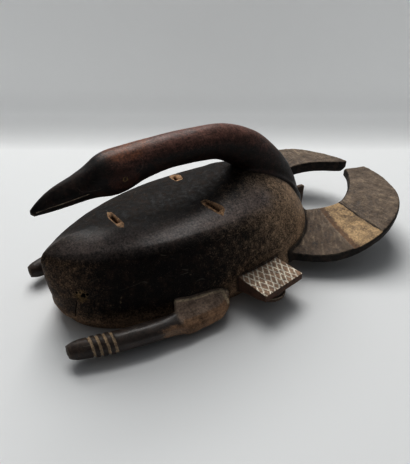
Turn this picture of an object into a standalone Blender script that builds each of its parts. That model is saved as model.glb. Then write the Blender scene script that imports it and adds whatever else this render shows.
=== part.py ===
"""A carved wooden face mask that lies face up on its back rim.

The chin points to -Y, the two horns to +Y, and the face looks up, to +Z.
The mask is carved from one block: a hollow face shell, a long-necked bird arching
over it, two flat horns, two ringed legs with paddles and two hatched temple blocks.
The plane X = 0 is the middle of the face.
"""

import math

import bmesh
import bpy
from mathutils import Matrix, Vector

# Face shell in plan: an egg at the rim, and a narrower egg at the soft edge of the face.
# Each egg is its half width, the y of its ends, its widest y, and its two powers.
RIM_EGG = {"half": 0.0705, "chin": -0.1820, "head": 0.0950, "widest": -0.0400, "along": 2.3, "across": 2.0}
EDGE_EGG = {"half": 0.0575, "chin": -0.1845, "head": 0.0780, "widest": -0.0385, "along": 2.18, "across": 1.15}
RIM_SETBACK = 0.0066
HOLLOW_SETBACK = 0.0020
RIM_TOP_Z = 0.0090
LIP_Z = 0.0150
EDGE_Z = {"side": 0.0715, "chin": 0.0640, "head": 0.0625}
WALL_BULGE = 0.0015

# Domed face: the crown line runs along the middle plane from chin to head.
CROWN_Z = 0.0945
CROWN_Y = 0.0000
CROWN_CHIN_SLOPE = 0.222
CROWN_CHIN_BEND = 0.73
CROWN_HEAD_CURVE = 3.4
CROWN_ENDS_Y = (-0.1450, 0.0300)
DOME_POWER = 2.6

# Inside of the shell.
WALL = 0.0085

# Slits cut through the face: eyes at both sides, mouth on the middle plane.
EYE_X = 0.0325
EYE_Y = -0.0455
EYE_LENGTH = 0.0145
EYE_SLANT_DEG = 22.0
MOUTH_Y = -0.1190
MOUTH_LENGTH = 0.0120
SLIT_WIDTH = 0.0026

# Bird, from the beak's tip back to the neck's root: y, z, half width, half height.
BIRD = (
    (-0.1815, 0.1037, 0.0024, 0.0027),
    (-0.1720, 0.1074, 0.0057, 0.0063),
    (-0.1600, 0.1111, 0.0084, 0.0092),
    (-0.1450, 0.1143, 0.0106, 0.0112),
    (-0.1345, 0.1165, 0.0122, 0.0134),
    (-0.1240, 0.1186, 0.0156, 0.0170),
    (-0.1130, 0.1205, 0.0166, 0.0179),
    (-0.0950, 0.1238, 0.0152, 0.0156),
    (-0.0700, 0.1261, 0.0141, 0.0143),
    (-0.0400, 0.1257, 0.0143, 0.0145),
    (-0.0130, 0.1224, 0.0146, 0.0160),
    (0.0120, 0.1104, 0.0157, 0.0188),
    (0.0330, 0.0918, 0.0166, 0.0206),
    (0.0500, 0.0711, 0.0166, 0.0219),
    (0.0620, 0.0472, 0.0165, 0.0226),
    (0.0680, 0.0233, 0.0165, 0.0231),
)
BIRD_STEPS = 3
BIRD_SIDES = 16

# Horns in plan: half ellipses about the middle plane for the outer and the inner edge.
# The horn at +X is broad and thin with a blunt end, the one at -X is slimmer with a round end.
# "top" is the height of the horn's top at its root and at its tip.
HORN_OUTER = {"y": 0.107, "x": 0.1005, "to_tip": 0.084, "to_root": 0.103}
HORNS = (
    {"side": 1, "y": 0.118, "x": 0.0380, "to_tip": 0.046, "to_root": 0.046, "tip_deg": 86.0, "round": 0.0,
     "top": (0.0225, 0.0500), "thick": 0.0090},
    {"side": -1, "y": 0.118, "x": 0.0480, "to_tip": 0.066, "to_root": 0.053, "tip_deg": 75.0, "round": 0.30,
     "top": (0.0260, 0.0490), "thick": 0.0125},
)
HORN_ROOT_DEG = -56.0
HORN_CHAMFER = 0.0025
HORN_RISE_Y = (0.045, 0.165)
HORN_STATIONS = 22

# Legs, from the tip: y, x, z, half width, half height, squareness, slope of the top across.
LEG = (
    (-0.1908, 0.0560, 0.0136, 0.0045, 0.0048, 2.0, 0.0),
    (-0.1875, 0.0569, 0.0134, 0.0062, 0.0064, 2.0, 0.0),
    (-0.1790, 0.0586, 0.0132, 0.0081, 0.0081, 2.0, 0.0),
    (-0.1520, 0.0667, 0.0130, 0.0089, 0.0082, 2.0, 0.0),
    (-0.1300, 0.0713, 0.0135, 0.0092, 0.0080, 2.0, 0.0),
    (-0.1150, 0.0742, 0.0137, 0.0080, 0.0070, 2.2, -0.2),
    (-0.1045, 0.0766, 0.0145, 0.0080, 0.0066, 2.6, -0.4),
    (-0.1020, 0.0738, 0.0170, 0.0118, 0.0046, 3.5, -0.65),
    (-0.0900, 0.0746, 0.0163, 0.0114, 0.0043, 4.0, -0.63),
    (-0.0710, 0.0759, 0.0168, 0.0106, 0.0040, 4.0, -0.56),
    (-0.0640, 0.0746, 0.0173, 0.0096, 0.0040, 4.0, -0.50),
    (-0.0575, 0.0723, 0.0173, 0.0074, 0.0038, 4.0, -0.45),
    (-0.0535, 0.0690, 0.0173, 0.0035, 0.0036, 4.0, -0.45),
)
LEG_STEPS = 2
LEG_SIDES = 14
GROOVE_FIRST_Y = -0.1735
GROOVE_STEP = 0.0057
GROOVE_COUNT = 4
GROOVE_DEPTH = 0.0011
GROOVE_HALF_WIDTH = 0.0010

# Temple blocks, with a half-round ledge under each. They are turned a little about Z.
BLOCK_CENTRE = (0.0820, -0.0158)
BLOCK_SIZE = (0.0340, 0.0475)
BLOCK_TURN_DEG = 7.5
BLOCK_TOP_Z = 0.0280
BLOCK_UNDER_Z = (0.0125, 0.0210)
LEDGE_CENTRE = (0.0750, -0.0190)
LEDGE_RADII = (0.0235, 0.0180)
LEDGE_Z = (0.0125, 0.0175)

# Fin on the back of the head.
FIN_WIDTH = 0.0050
FIN_Y = (0.0800, 0.0985)
FIN_Z = (0.0250, 0.0480)

WOOD = {"colour": (0.075, 0.045, 0.032, 1.0), "roughness": 0.45}
SHELL_SIDES = 64
BELOW = 0.010


def clear_scene():
    for thing in list(bpy.data.objects):
        bpy.data.objects.remove(thing, do_unlink=True)


def new_collection(name):
    collection = bpy.data.collections.new(name)
    bpy.context.scene.collection.children.link(collection)
    return collection


def wood_material():
    material = bpy.data.materials.new("carved_wood")
    material.use_nodes = True
    shader = material.node_tree.nodes["Principled BSDF"]
    shader.inputs["Base Color"].default_value = WOOD["colour"]
    shader.inputs["Roughness"].default_value = WOOD["roughness"]
    shader.inputs["Metallic"].default_value = 0.0
    return material


def mix(a, b, t):
    return a + (b - a) * t


def smoothstep(low, high, value):
    t = min(max((value - low) / (high - low), 0.0), 1.0)
    return t * t * (3.0 - 2.0 * t)


def loft(name, rings, collection, capped=True):
    """A closed solid through rings of equal count, with a flat cap on the first and last.

    The last ring takes no cap where its two sides meet in a line.
    """
    mesh = bpy.data.meshes.new(name)
    shape = bmesh.new()
    rows = [[shape.verts.new(point) for point in ring] for ring in rings]
    count = len(rows[0])
    for lower, upper in zip(rows, rows[1:]):
        for i in range(count):
            j = (i + 1) % count
            shape.faces.new((lower[i], lower[j], upper[j], upper[i]))
    shape.faces.new(list(reversed(rows[0])))
    if capped:
        shape.faces.new(rows[-1])
    bmesh.ops.remove_doubles(shape, verts=shape.verts, dist=0.00001)
    bmesh.ops.recalc_face_normals(shape, faces=shape.faces)
    shape.to_mesh(mesh)
    shape.free()
    solid = bpy.data.objects.new(name, mesh)
    collection.objects.link(solid)
    return solid


def as_guide(solid):
    solid.hide_render = True
    solid.display_type = "WIRE"
    return solid


def carve(target, solid, operation):
    step = target.modifiers.new(solid.name, "BOOLEAN")
    step.operation = operation
    step.solver = "EXACT"
    step.object = solid


def through(stations, steps):
    """Catmull-Rom stations: each gap between two stations is cut into equal steps."""
    padded = (stations[0],) + tuple(stations) + (stations[-1],)
    result = []
    for i in range(1, len(padded) - 2):
        before, start, end, after = padded[i - 1:i + 3]
        for k in range(steps):
            t = k / steps
            result.append([
                0.5 * (2 * b + (c - a) * t + (2 * a - 5 * b + 4 * c - d) * t * t
                       + (3 * b - a - 3 * c + d) * t ** 3)
                for a, b, c, d in zip(before, start, end, after)
            ])
    result.append(list(stations[-1]))
    return result


def egg_point(egg, angle, inset):
    """A point of the egg outline in plan, from 0 at +X through the head end at 90 degrees."""
    sine, cosine = math.sin(angle), math.cos(angle)
    end = egg["head"] - inset if sine > 0 else egg["chin"] + inset
    along = abs(sine) ** (2.0 / egg["along"])
    across = abs(cosine) ** (2.0 / egg["across"])
    x = math.copysign(across, cosine) * (egg["half"] - inset)
    return x, mix(egg["widest"], end, along)


def crown_height(y):
    if y < CROWN_Y:
        back = CROWN_Y - y
        return CROWN_Z - CROWN_CHIN_SLOPE * back + CROWN_CHIN_BEND * back ** 2
    return CROWN_Z - CROWN_HEAD_CURVE * (y - CROWN_Y) ** 2


def edge_height(angle):
    """Height of the soft edge round the face: highest at the sides, lower at chin and head."""
    end = EDGE_Z["head"] if math.sin(angle) > 0 else EDGE_Z["chin"]
    return mix(end, EDGE_Z["side"], math.cos(angle) ** 2)


def wall_ring(rise, inset, z):
    """A ring of the side wall, from the rim egg at rise 0 to the edge egg at rise 1.

    Above the lip the ring has no height of its own: it climbs towards the soft edge.
    """
    bulge = WALL_BULGE * math.sin(math.pi * rise)
    ring = []
    for i in range(SHELL_SIDES):
        angle = 2.0 * math.pi * i / SHELL_SIDES
        low = egg_point(RIM_EGG, angle, inset)
        high = egg_point(EDGE_EGG, angle, inset)
        x = mix(low[0], high[0], rise) + bulge * math.cos(angle)
        y = mix(low[1], high[1], rise) + bulge * math.sin(angle)
        climb = mix(LIP_Z, edge_height(angle) - inset, rise) if z is None else z
        ring.append(Vector((x, y, climb)))
    return ring


def dome_ring(spread, inset):
    """A ring of the face, from its soft edge at spread 1 to the crown line at spread 0."""
    ring = []
    for i in range(SHELL_SIDES):
        angle = 2.0 * math.pi * i / SHELL_SIDES
        edge = egg_point(EDGE_EGG, angle, inset)
        crown_y = mix(CROWN_ENDS_Y[0], CROWN_ENDS_Y[1], 0.5 + 0.5 * math.sin(angle))
        x = edge[0] * spread
        y = mix(crown_y, edge[1], spread)
        fall = crown_height(edge[1]) - edge_height(angle)
        z = crown_height(y) - fall * spread ** DOME_POWER - inset
        ring.append(Vector((x, y, z)))
    return ring


def shell_solid(name, inset, profile, collection):
    """The shell as a full solid, or its hollow when inset by the wall's thickness."""
    rings = [wall_ring(rise, inset + setback, z) for rise, setback, z in profile]
    for spread in (0.93, 0.85, 0.74, 0.6, 0.45, 0.3, 0.15, 0.0):
        rings.append(dome_ring(spread, inset))
    return loft(name, rings, collection, capped=False)


def outer_shell(collection):
    profile = [
        (0.0, RIM_SETBACK, 0.0),
        (0.0, RIM_SETBACK * 0.8, RIM_TOP_Z),
        (0.03, 0.0, LIP_Z - 0.002),
        (0.08, -0.0006, LIP_Z + 0.002),
    ]
    for rise in (0.3, 0.55, 0.78, 0.93):
        profile.append((rise, 0.0, None))
    return shell_solid("shell", 0.0, profile, collection)


def inner_hollow(collection):
    profile = [(0.0, HOLLOW_SETBACK, -BELOW), (0.0, HOLLOW_SETBACK, RIM_TOP_Z)]
    for rise in (0.3, 0.6, 0.85):
        profile.append((rise, 0.0, None))
    return shell_solid("hollow", WALL, profile, collection)


def slit(name, x, y, length, slant_deg, collection):
    """A cutter with round ends. Its long side runs across the face, turned by the slant."""
    slant = Matrix.Rotation(math.radians(slant_deg), 2)
    radius = SLIT_WIDTH / 2
    ring = []
    for i in range(16):
        angle = 2.0 * math.pi * (i + 0.5) / 16
        shift = math.copysign(length / 2 - radius, math.cos(angle))
        turned = slant @ Vector((shift + radius * math.cos(angle), radius * math.sin(angle)))
        ring.append((x + turned.x, y + turned.y))
    rings = [[Vector((px, py, z)) for px, py in ring] for z in (0.045, 0.125)]
    return loft(name, rings, collection)


def bird(collection):
    """A swept neck, head and beak. Its sections stand square to the middle plane."""
    stations = through(BIRD, BIRD_STEPS)
    rings = []
    for i, (y, z, half_width, half_height) in enumerate(stations):
        before = stations[max(i - 1, 0)]
        after = stations[min(i + 1, len(stations) - 1)]
        run = Vector((0.0, after[0] - before[0], after[1] - before[1])).normalized()
        up = Vector((0.0, -run.z, run.y))
        ring = []
        for k in range(BIRD_SIDES):
            angle = 2.0 * math.pi * k / BIRD_SIDES
            side = Vector((math.cos(angle) * half_width, 0.0, 0.0))
            ring.append(Vector((0.0, y, z)) + side + up * math.sin(angle) * half_height)
        rings.append(ring)
    return loft("bird", rings, collection)


def horn_top(shape, y):
    return mix(shape["top"][0], shape["top"][1], smoothstep(HORN_RISE_Y[0], HORN_RISE_Y[1], y))


def horn_edge(shape, angle, along_power, across_power):
    sine, cosine = math.sin(angle), math.cos(angle)
    reach = shape["to_tip"] if sine > 0 else -shape["to_root"]
    x = shape["x"] * abs(cosine) ** across_power
    return Vector((x, shape["y"] + reach * abs(sine) ** along_power, 0.0))


def horn_section(full):
    """Corners of the plate's section, in order: which edge, inset from it, and drop below the top."""
    cut = HORN_CHAMFER
    outer = [(1, cut, 0.0), (1, 0.0, cut), (1, 0.0, full - cut), (1, cut, full)]
    inner = [(-1, inset, drop) for side, inset, drop in reversed(outer)]
    return outer + inner


def horn(shape, collection):
    """A flat plate between two edge curves, rising towards its tip."""
    rings = []
    for i in range(HORN_STATIONS + 1):
        t = i / HORN_STATIONS
        angle = math.radians(mix(HORN_ROOT_DEG, shape["tip_deg"], t))
        outer = horn_edge(HORN_OUTER, angle, 1.0, 1.0)
        inner = horn_edge(shape, angle, 1.25, 1.67)
        middle = (outer + inner) / 2
        half = (outer - inner) / 2
        if shape["round"] and t > 1.0 - shape["round"]:
            past = (t - 1.0 + shape["round"]) / shape["round"]
            half *= math.sqrt(max(1.0 - past * past * 0.92, 0.0))
        across = half.normalized()
        ring = []
        for side, inset, drop in horn_section(shape["thick"]):
            corner = middle + across * side * (half.length - inset)
            ring.append(Vector((corner.x * shape["side"], corner.y, horn_top(shape, corner.y) - drop)))
        rings.append(ring)
    name = "horn_right" if shape["side"] > 0 else "horn_left"
    return loft(name, rings, collection)


def groove_depth(y):
    """How deep the ring grooves cut into the stem at this y."""
    for k in range(GROOVE_COUNT):
        distance = abs(y - GROOVE_FIRST_Y - k * GROOVE_STEP)
        if distance < GROOVE_HALF_WIDTH:
            return GROOVE_DEPTH
    return 0.0


def leg_stations():
    """The smooth stations of a leg, with three more at each groove."""
    smooth = through(LEG, LEG_STEPS)
    for k in range(GROOVE_COUNT):
        middle = GROOVE_FIRST_Y + k * GROOVE_STEP
        for y in (middle - GROOVE_HALF_WIDTH * 1.6, middle, middle + GROOVE_HALF_WIDTH * 1.6):
            after = next(i for i, row in enumerate(smooth) if row[0] > y)
            low, high = smooth[after - 1], smooth[after]
            t = (y - low[0]) / (high[0] - low[0])
            smooth.insert(after, [mix(a, b, t) for a, b in zip(low, high)])
    return smooth


def leg(side, collection):
    rings = []
    for y, x, z, half_width, half_height, square, slope in leg_stations():
        cut = groove_depth(y)
        ring = []
        for k in range(LEG_SIDES):
            angle = 2.0 * math.pi * k / LEG_SIDES
            sine, cosine = math.sin(angle), math.cos(angle)
            across = math.copysign(abs(cosine) ** (2.0 / square), cosine) * (half_width - cut)
            up = math.copysign(abs(sine) ** (2.0 / square), sine) * (half_height - cut)
            ring.append(Vector(((x + across) * side, y, z + up + slope * across)))
        rings.append(ring)
    return loft("leg_right" if side > 0 else "leg_left", rings, collection)


def temple_block(side, collection):
    """A flat-topped block whose underside rises outwards."""
    bpy.ops.mesh.primitive_cube_add(size=1.0)
    block = bpy.context.object
    block.name = "block_right" if side > 0 else "block_left"
    for corner in block.data.vertices:
        outward = corner.co.x + 0.5
        under = mix(BLOCK_UNDER_Z[0], BLOCK_UNDER_Z[1], outward)
        corner.co.z = BLOCK_TOP_Z if corner.co.z > 0 else under
        corner.co.x *= BLOCK_SIZE[0]
        corner.co.y *= BLOCK_SIZE[1]
    turn = Matrix.Rotation(math.radians(BLOCK_TURN_DEG), 4, "Z")
    place = Matrix.Translation((BLOCK_CENTRE[0], BLOCK_CENTRE[1], 0.0))
    mirror = Matrix.Diagonal((side, 1.0, 1.0, 1.0))
    block.data.transform(mirror @ place @ turn)
    if side < 0:
        block.data.flip_normals()
    move_to(block, collection)
    return block


def ledge(side, collection):
    """The half-round ledge under a temple block."""
    bpy.ops.mesh.primitive_cylinder_add(vertices=28, radius=1.0, depth=1.0)
    disc = bpy.context.object
    disc.name = "ledge_right" if side > 0 else "ledge_left"
    disc.data.transform(Matrix.Diagonal((LEDGE_RADII[0], LEDGE_RADII[1], LEDGE_Z[1] - LEDGE_Z[0], 1.0)))
    middle_z = (LEDGE_Z[0] + LEDGE_Z[1]) / 2
    disc.data.transform(Matrix.Translation((LEDGE_CENTRE[0] * side, LEDGE_CENTRE[1], middle_z)))
    move_to(disc, collection)
    return disc


def fin(collection):
    bpy.ops.mesh.primitive_cube_add(size=1.0)
    plate = bpy.context.object
    plate.name = "fin"
    size = (FIN_WIDTH, FIN_Y[1] - FIN_Y[0], FIN_Z[1] - FIN_Z[0], 1.0)
    plate.data.transform(Matrix.Diagonal(size))
    plate.data.transform(Matrix.Translation((0.0, sum(FIN_Y) / 2, sum(FIN_Z) / 2)))
    move_to(plate, collection)
    return plate


def move_to(thing, collection):
    for owner in list(thing.users_collection):
        owner.objects.unlink(thing)
    collection.objects.link(thing)


def build_mask():
    parts = new_collection("kpelie_mask_parts")
    guides = new_collection("carving_guides")
    mask = outer_shell(parts)
    mask.name = "kpelie_mask"
    mask.data.materials.append(wood_material())
    additions = [bird(guides), fin(guides)]
    additions += [horn(shape, guides) for shape in HORNS]
    for side in (1, -1):
        additions += [leg(side, guides), temple_block(side, guides), ledge(side, guides)]
    for solid in additions:
        carve(mask, as_guide(solid), "UNION")
    cutters = [
        inner_hollow(guides),
        slit("eye_right", EYE_X, EYE_Y, EYE_LENGTH, EYE_SLANT_DEG, guides),
        slit("eye_left", -EYE_X, EYE_Y, EYE_LENGTH, -EYE_SLANT_DEG, guides),
        slit("mouth", 0.0, MOUTH_Y, MOUTH_LENGTH, 0.0, guides),
    ]
    for solid in cutters:
        carve(mask, as_guide(solid), "DIFFERENCE")
    return mask


clear_scene()
build_mask()
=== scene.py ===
import itertools
import math

import bmesh
import bpy
import numpy as np
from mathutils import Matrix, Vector
from mathutils.bvhtree import BVHTree


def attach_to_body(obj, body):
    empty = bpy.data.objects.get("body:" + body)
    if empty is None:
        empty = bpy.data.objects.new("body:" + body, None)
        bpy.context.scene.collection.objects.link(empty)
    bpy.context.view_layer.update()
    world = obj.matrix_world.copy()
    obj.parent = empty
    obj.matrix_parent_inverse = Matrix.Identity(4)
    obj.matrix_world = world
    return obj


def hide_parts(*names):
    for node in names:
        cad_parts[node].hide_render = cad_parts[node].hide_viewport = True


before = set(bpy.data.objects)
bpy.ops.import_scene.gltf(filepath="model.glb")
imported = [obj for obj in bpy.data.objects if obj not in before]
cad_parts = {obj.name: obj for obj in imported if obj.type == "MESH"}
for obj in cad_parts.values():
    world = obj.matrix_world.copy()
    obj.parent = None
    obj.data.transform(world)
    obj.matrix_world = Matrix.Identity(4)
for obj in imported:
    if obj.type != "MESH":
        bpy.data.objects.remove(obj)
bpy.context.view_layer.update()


# Camera, sweep and light
# A hand-held view from above the chin's near side, over a pale paper sweep that curves up close
# behind the mask. A broad soft panel high behind the left side lights it, with a small strip
# overhead, in a dim room that is brighter on that side.

CAMERA_PLACE = (0.28865, -0.21826, 0.26429)
CAMERA_TURN = 57.0
CAMERA_DROP = 34.0
PICTURE_SIZE = (410, 464)
FOCAL_PIXELS = 420.0
SENSOR = 36.0


def add_object(name, data):
    made = bpy.data.objects.new(name, data)
    bpy.context.collection.objects.link(made)
    return made


camera = add_object("camera", bpy.data.cameras.new("camera"))
camera.data.sensor_fit = "VERTICAL"
camera.data.sensor_height = SENSOR
camera.data.lens = SENSOR * FOCAL_PIXELS / PICTURE_SIZE[1]
camera.data.clip_start = 0.01
camera.location = CAMERA_PLACE
camera.rotation_euler = (math.radians(90 - CAMERA_DROP), 0.0, math.radians(CAMERA_TURN))
bpy.context.scene.camera = camera
bpy.context.scene.view_settings.view_transform = "Standard"
bpy.context.scene.view_settings.gamma = 0.80

away = Vector((-math.sin(math.radians(CAMERA_TURN)), math.cos(math.radians(CAMERA_TURN)), 0.0))
aside = Vector((away.y, -away.x, 0.0))


def paint(red, green, blue):
    """A colour as a paint chart gives it, 0 to 255, for a shader."""
    return tuple(((c / 255 + 0.055) / 1.055) ** 2.4 if c > 10 else c / 255 / 12.92
                 for c in (red, green, blue)) + (1.0,)


PAPER = paint(224, 225, 225)
SWEEP_FRONT = -0.05
SWEEP_STARTS = 0.262
SWEEP_CURVE = 0.075
SWEEP_CURVE_STEPS = 16
SWEEP_OVER_FLOOR = 0.00005
SWEEP_TOP = 0.24
SWEEP_HALF = 1.2
SWEEP_GLOW = 0.29
SWEEP_GLOWS_FULLY_AT = 0.036
FLOOR_HALF = 4.0


def paper_sweep():
    """A sheet that lies on the floor, curves up behind the mask and stands."""
    profile = [(SWEEP_FRONT, 0.0), (SWEEP_STARTS * 0.5, 0.0), (SWEEP_STARTS, 0.0)]
    for step in range(1, SWEEP_CURVE_STEPS + 1):
        turn = math.radians(90.0 * step / SWEEP_CURVE_STEPS)
        profile.append((SWEEP_STARTS + SWEEP_CURVE * math.sin(turn), SWEEP_CURVE * (1 - math.cos(turn))))
    profile.append((SWEEP_STARTS + SWEEP_CURVE, SWEEP_TOP))
    points = [away * out + aside * side + Vector((0.0, 0.0, up + SWEEP_OVER_FLOOR))
              for out, up in profile for side in (-SWEEP_HALF, SWEEP_HALF)]
    faces = [(2 * i, 2 * i + 1, 2 * i + 3, 2 * i + 2) for i in range(len(profile) - 1)]
    mesh = bpy.data.meshes.new("paper_sweep")
    mesh.from_pydata(points, [], faces)
    mesh.shade_smooth()
    return mesh


def feed(tree, value, socket):
    """Sets a socket to a number or a colour, or links it to another node's socket."""
    if isinstance(value, (int, float, tuple)):
        socket.default_value = value
    else:
        tree.links.new(value, socket)


def add_fade(tree, value, low, high, kind="SMOOTHSTEP"):
    """A Map Range node from 0 at low to 1 at high."""
    node = tree.nodes.new("ShaderNodeMapRange")
    node.interpolation_type = kind
    for name, given in (("Value", value), ("From Min", low), ("From Max", high)):
        feed(tree, given, node.inputs[name])
    return node.outputs["Result"]


def add_mix(tree, amount, under, over):
    """One colour over another. A Mix node has its colours in sockets 6 and 7, and the result in 2."""
    node = tree.nodes.new("ShaderNodeMix")
    node.data_type = "RGBA"
    for i, value in ((0, amount), (6, under), (7, over)):
        feed(tree, value, node.inputs[i])
    return node.outputs[2]


def add_vector(tree, kind, vector, other):
    """One Vector Math node, between two vectors or, for SCALE, a vector and a number."""
    node = tree.nodes.new("ShaderNodeVectorMath")
    node.operation = kind
    feed(tree, vector, node.inputs[0])
    feed(tree, other, node.inputs["Scale" if kind == "SCALE" else 1])
    return node.outputs["Value" if kind == "DOT_PRODUCT" else "Vector"]


def part_of(tree, vector, axis):
    """One of the three parts of a vector."""
    node = tree.nodes.new("ShaderNodeSeparateXYZ")
    tree.links.new(vector, node.inputs[0])
    return node.outputs[axis]


def paper_material(name, see_through_back):
    """Plain matt paper. The sweep's back lets light and sight through, for the views from behind."""
    material = bpy.data.materials.new(name)
    material.use_nodes = True
    tree = material.node_tree
    shader = tree.nodes["Principled BSDF"]
    shader.inputs["Base Color"].default_value = PAPER
    shader.inputs["Roughness"].default_value = 0.9
    shader.inputs["Specular IOR Level"].default_value = 0.1
    if see_through_back:
        height = part_of(tree, tree.nodes.new("ShaderNodeTexCoord").outputs["Object"], "Z")
        lit = add_fade(tree, height, 0.0, SWEEP_GLOWS_FULLY_AT, "LINEAR")
        tree.links.new(add_mix(tree, lit, (0.0, 0.0, 0.0, 1.0), PAPER), shader.inputs["Emission Color"])
        shader.inputs["Emission Strength"].default_value = SWEEP_GLOW
        side, clear, both = (tree.nodes.new(kind) for kind in (
            "ShaderNodeNewGeometry", "ShaderNodeBsdfTransparent", "ShaderNodeMixShader"))
        for source, target in ((side.outputs["Backfacing"], both.inputs[0]), (shader.outputs[0], both.inputs[1]),
                               (clear.outputs[0], both.inputs[2]),
                               (both.outputs[0], tree.nodes["Material Output"].inputs["Surface"])):
            tree.links.new(source, target)
    return material


floor_mesh = bpy.data.meshes.new("floor")
floor_mesh.from_pydata([(x * FLOOR_HALF, y * FLOOR_HALF, 0.0) for x, y in ((-1, -1), (1, -1), (1, 1), (-1, 1))],
                       [], [(0, 1, 2, 3)])
floor_mesh.materials.append(paper_material("floor_paper", False))
floor = add_object("floor", floor_mesh)
sweep = add_object("paper_sweep", paper_sweep())
sweep.data.materials.append(paper_material("sweep_paper", True))
sweep.visible_shadow = False


ROOM_BRIGHT = (0.40, 0.41, 0.42, 1.0)
ROOM_DIM = (0.105, 0.108, 0.113, 1.0)
BRIGHT_SIDE = (-0.86, 0.30, 0.42)
ROOM_FADE = (-0.3, 0.9)

world = bpy.data.worlds.new("studio")
bpy.context.scene.world = world
world.use_nodes = True
room = world.node_tree
look = room.nodes.new("ShaderNodeTexCoord").outputs["Generated"]
bright = add_fade(room, add_vector(room, "DOT_PRODUCT", look, BRIGHT_SIDE), *ROOM_FADE, "LINEAR")
room.links.new(add_mix(room, bright, ROOM_DIM, ROOM_BRIGHT), room.nodes["Background"].inputs["Color"])


DAYLIGHT = (1.0, 0.995, 0.985)


def soft_light(name, turn, rise, distance, size, power):
    """A soft panel that faces the mask from this compass turn, rise and distance."""
    turn, rise = math.radians(turn), math.radians(rise)
    towards = Vector((math.cos(rise) * math.cos(turn), math.cos(rise) * math.sin(turn), math.sin(rise)))
    lamp = bpy.data.lights.new(name, "AREA")
    lamp.shape = "RECTANGLE"
    lamp.size, lamp.size_y = size
    lamp.energy = power
    lamp.color = DAYLIGHT
    light = add_object(name, lamp)
    light.location = towards * distance
    light.rotation_euler = towards.to_track_quat("Z", "Y").to_euler()
    light.visible_camera = False


soft_light("window_light", turn=163.0, rise=53.0, distance=5.0, size=(3.4, 2.8), power=234.0)
soft_light("overhead_strip", turn=147.0, rise=76.0, distance=1.3, size=(0.6, 0.25), power=2.0)


# Face shell
# An egg-shaped hollow bowl of dense wood, face up, carved with a knife and blackened by smoke
# and handling. The face is smooth, its side walls stand on a lip over a set-back rim, and the
# inside is roughly gouged. Three slits go right through, each in a scraped bevel.

RIM_EGG = {"half": 0.0705, "chin": -0.1820, "head": 0.0950, "widest": -0.0400, "along": 2.3, "across": 2.0}
EDGE_EGG = {"half": 0.0575, "chin": -0.1845, "head": 0.0780, "widest": -0.0385, "along": 2.18, "across": 1.15}
RIM_SETBACK = 0.0066
HOLLOW_SETBACK = 0.0020
RIM_TOP_Z = 0.0090
LIP_Z = 0.0150
EDGE_Z = {"side": 0.0715, "chin": 0.0640, "head": 0.0625}
WALL_BULGE = 0.0015
CROWN_Z = 0.0945
CROWN_Y = 0.0000
CROWN_CHIN_SLOPE = 0.222
CROWN_CHIN_BEND = 0.73
CROWN_HEAD_CURVE = 3.4
CROWN_ENDS_Y = (-0.1450, 0.0300)
DOME_POWER = 2.6
WALL = 0.0085
SHELL_AROUND = 420
SHELL_ROW_GAP = 0.0014


def blend(a, b, t):
    return a + (b - a) * t


def fade(low, high, value):
    """0 below low, 1 above high and smooth between; the other way round if low is the larger."""
    t = np.clip((value - low) / (high - low), 0.0, 1.0)
    return t * t * (3.0 - 2.0 * t)


def eased_power(value, power, ease=0.06):
    """|value| to a power, without the crease that it has at 0."""
    grown = (value ** 2 + ease ** 2) ** (power / 2) - ease ** power
    return grown / ((1 + ease ** 2) ** (power / 2) - ease ** power)


def signed_power(value, power):
    return np.sign(value) * np.abs(value) ** power


def egg(shape, angle, inset):
    sine, cosine = np.sin(angle), np.cos(angle)
    end = np.where(sine > 0, shape["head"] - inset, shape["chin"] + inset)
    x = signed_power(cosine, 2 / shape["across"]) * (shape["half"] - inset)
    return x, blend(shape["widest"], end, np.abs(sine) ** (2 / shape["along"]))


def even_angles(count):
    """Angles round the rim that lie at even distances, the same on both sides of the face."""
    fine = np.linspace(-math.pi / 2, math.pi / 2, 4001)
    x, y = egg(EDGE_EGG, fine, 0.0)
    walked = np.concatenate([[0.0], np.cumsum(np.hypot(np.diff(x), np.diff(y)))])
    half = np.interp(np.linspace(0.0, walked[-1], count // 2 + 1), walked, fine)
    half[0], half[-1] = -math.pi / 2, math.pi / 2
    return np.concatenate([half, math.pi - half[-2:0:-1]])


shell_angles = even_angles(SHELL_AROUND)


def crown_height(y):
    back = CROWN_Y - y
    return np.where(back > 0, CROWN_Z - CROWN_CHIN_SLOPE * back + CROWN_CHIN_BEND * back ** 2,
                    CROWN_Z - CROWN_HEAD_CURVE * (y - CROWN_Y) ** 2)


def edge_height(angle):
    end = np.where(np.sin(angle) > 0, EDGE_Z["head"], EDGE_Z["chin"])
    return blend(end, EDGE_Z["side"], np.cos(angle) ** 2)


def wall_row(rise, inset, z=None):
    angle = shell_angles
    low, high = egg(RIM_EGG, angle, inset), egg(EDGE_EGG, angle, inset)
    bulge = WALL_BULGE * math.sin(math.pi * rise)
    x = blend(low[0], high[0], rise) + bulge * np.cos(angle)
    y = blend(low[1], high[1], rise) + bulge * np.sin(angle)
    climb = blend(LIP_Z, edge_height(angle) - inset, rise) if z is None else np.full_like(x, z)
    return np.stack([x, y, climb], 1)


def dome_row(spread, inset):
    angle = shell_angles
    x, y = egg(EDGE_EGG, angle, inset)
    fall = crown_height(y) - edge_height(angle)
    crown_y = blend(CROWN_ENDS_Y[0], CROWN_ENDS_Y[1], 0.5 + 0.5 * np.sin(angle))
    y = blend(crown_y, y, spread)
    drop = fall * eased_power(np.array(spread), DOME_POWER)
    return np.stack([x * spread, y, crown_height(y) - drop - inset], 1)


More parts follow.
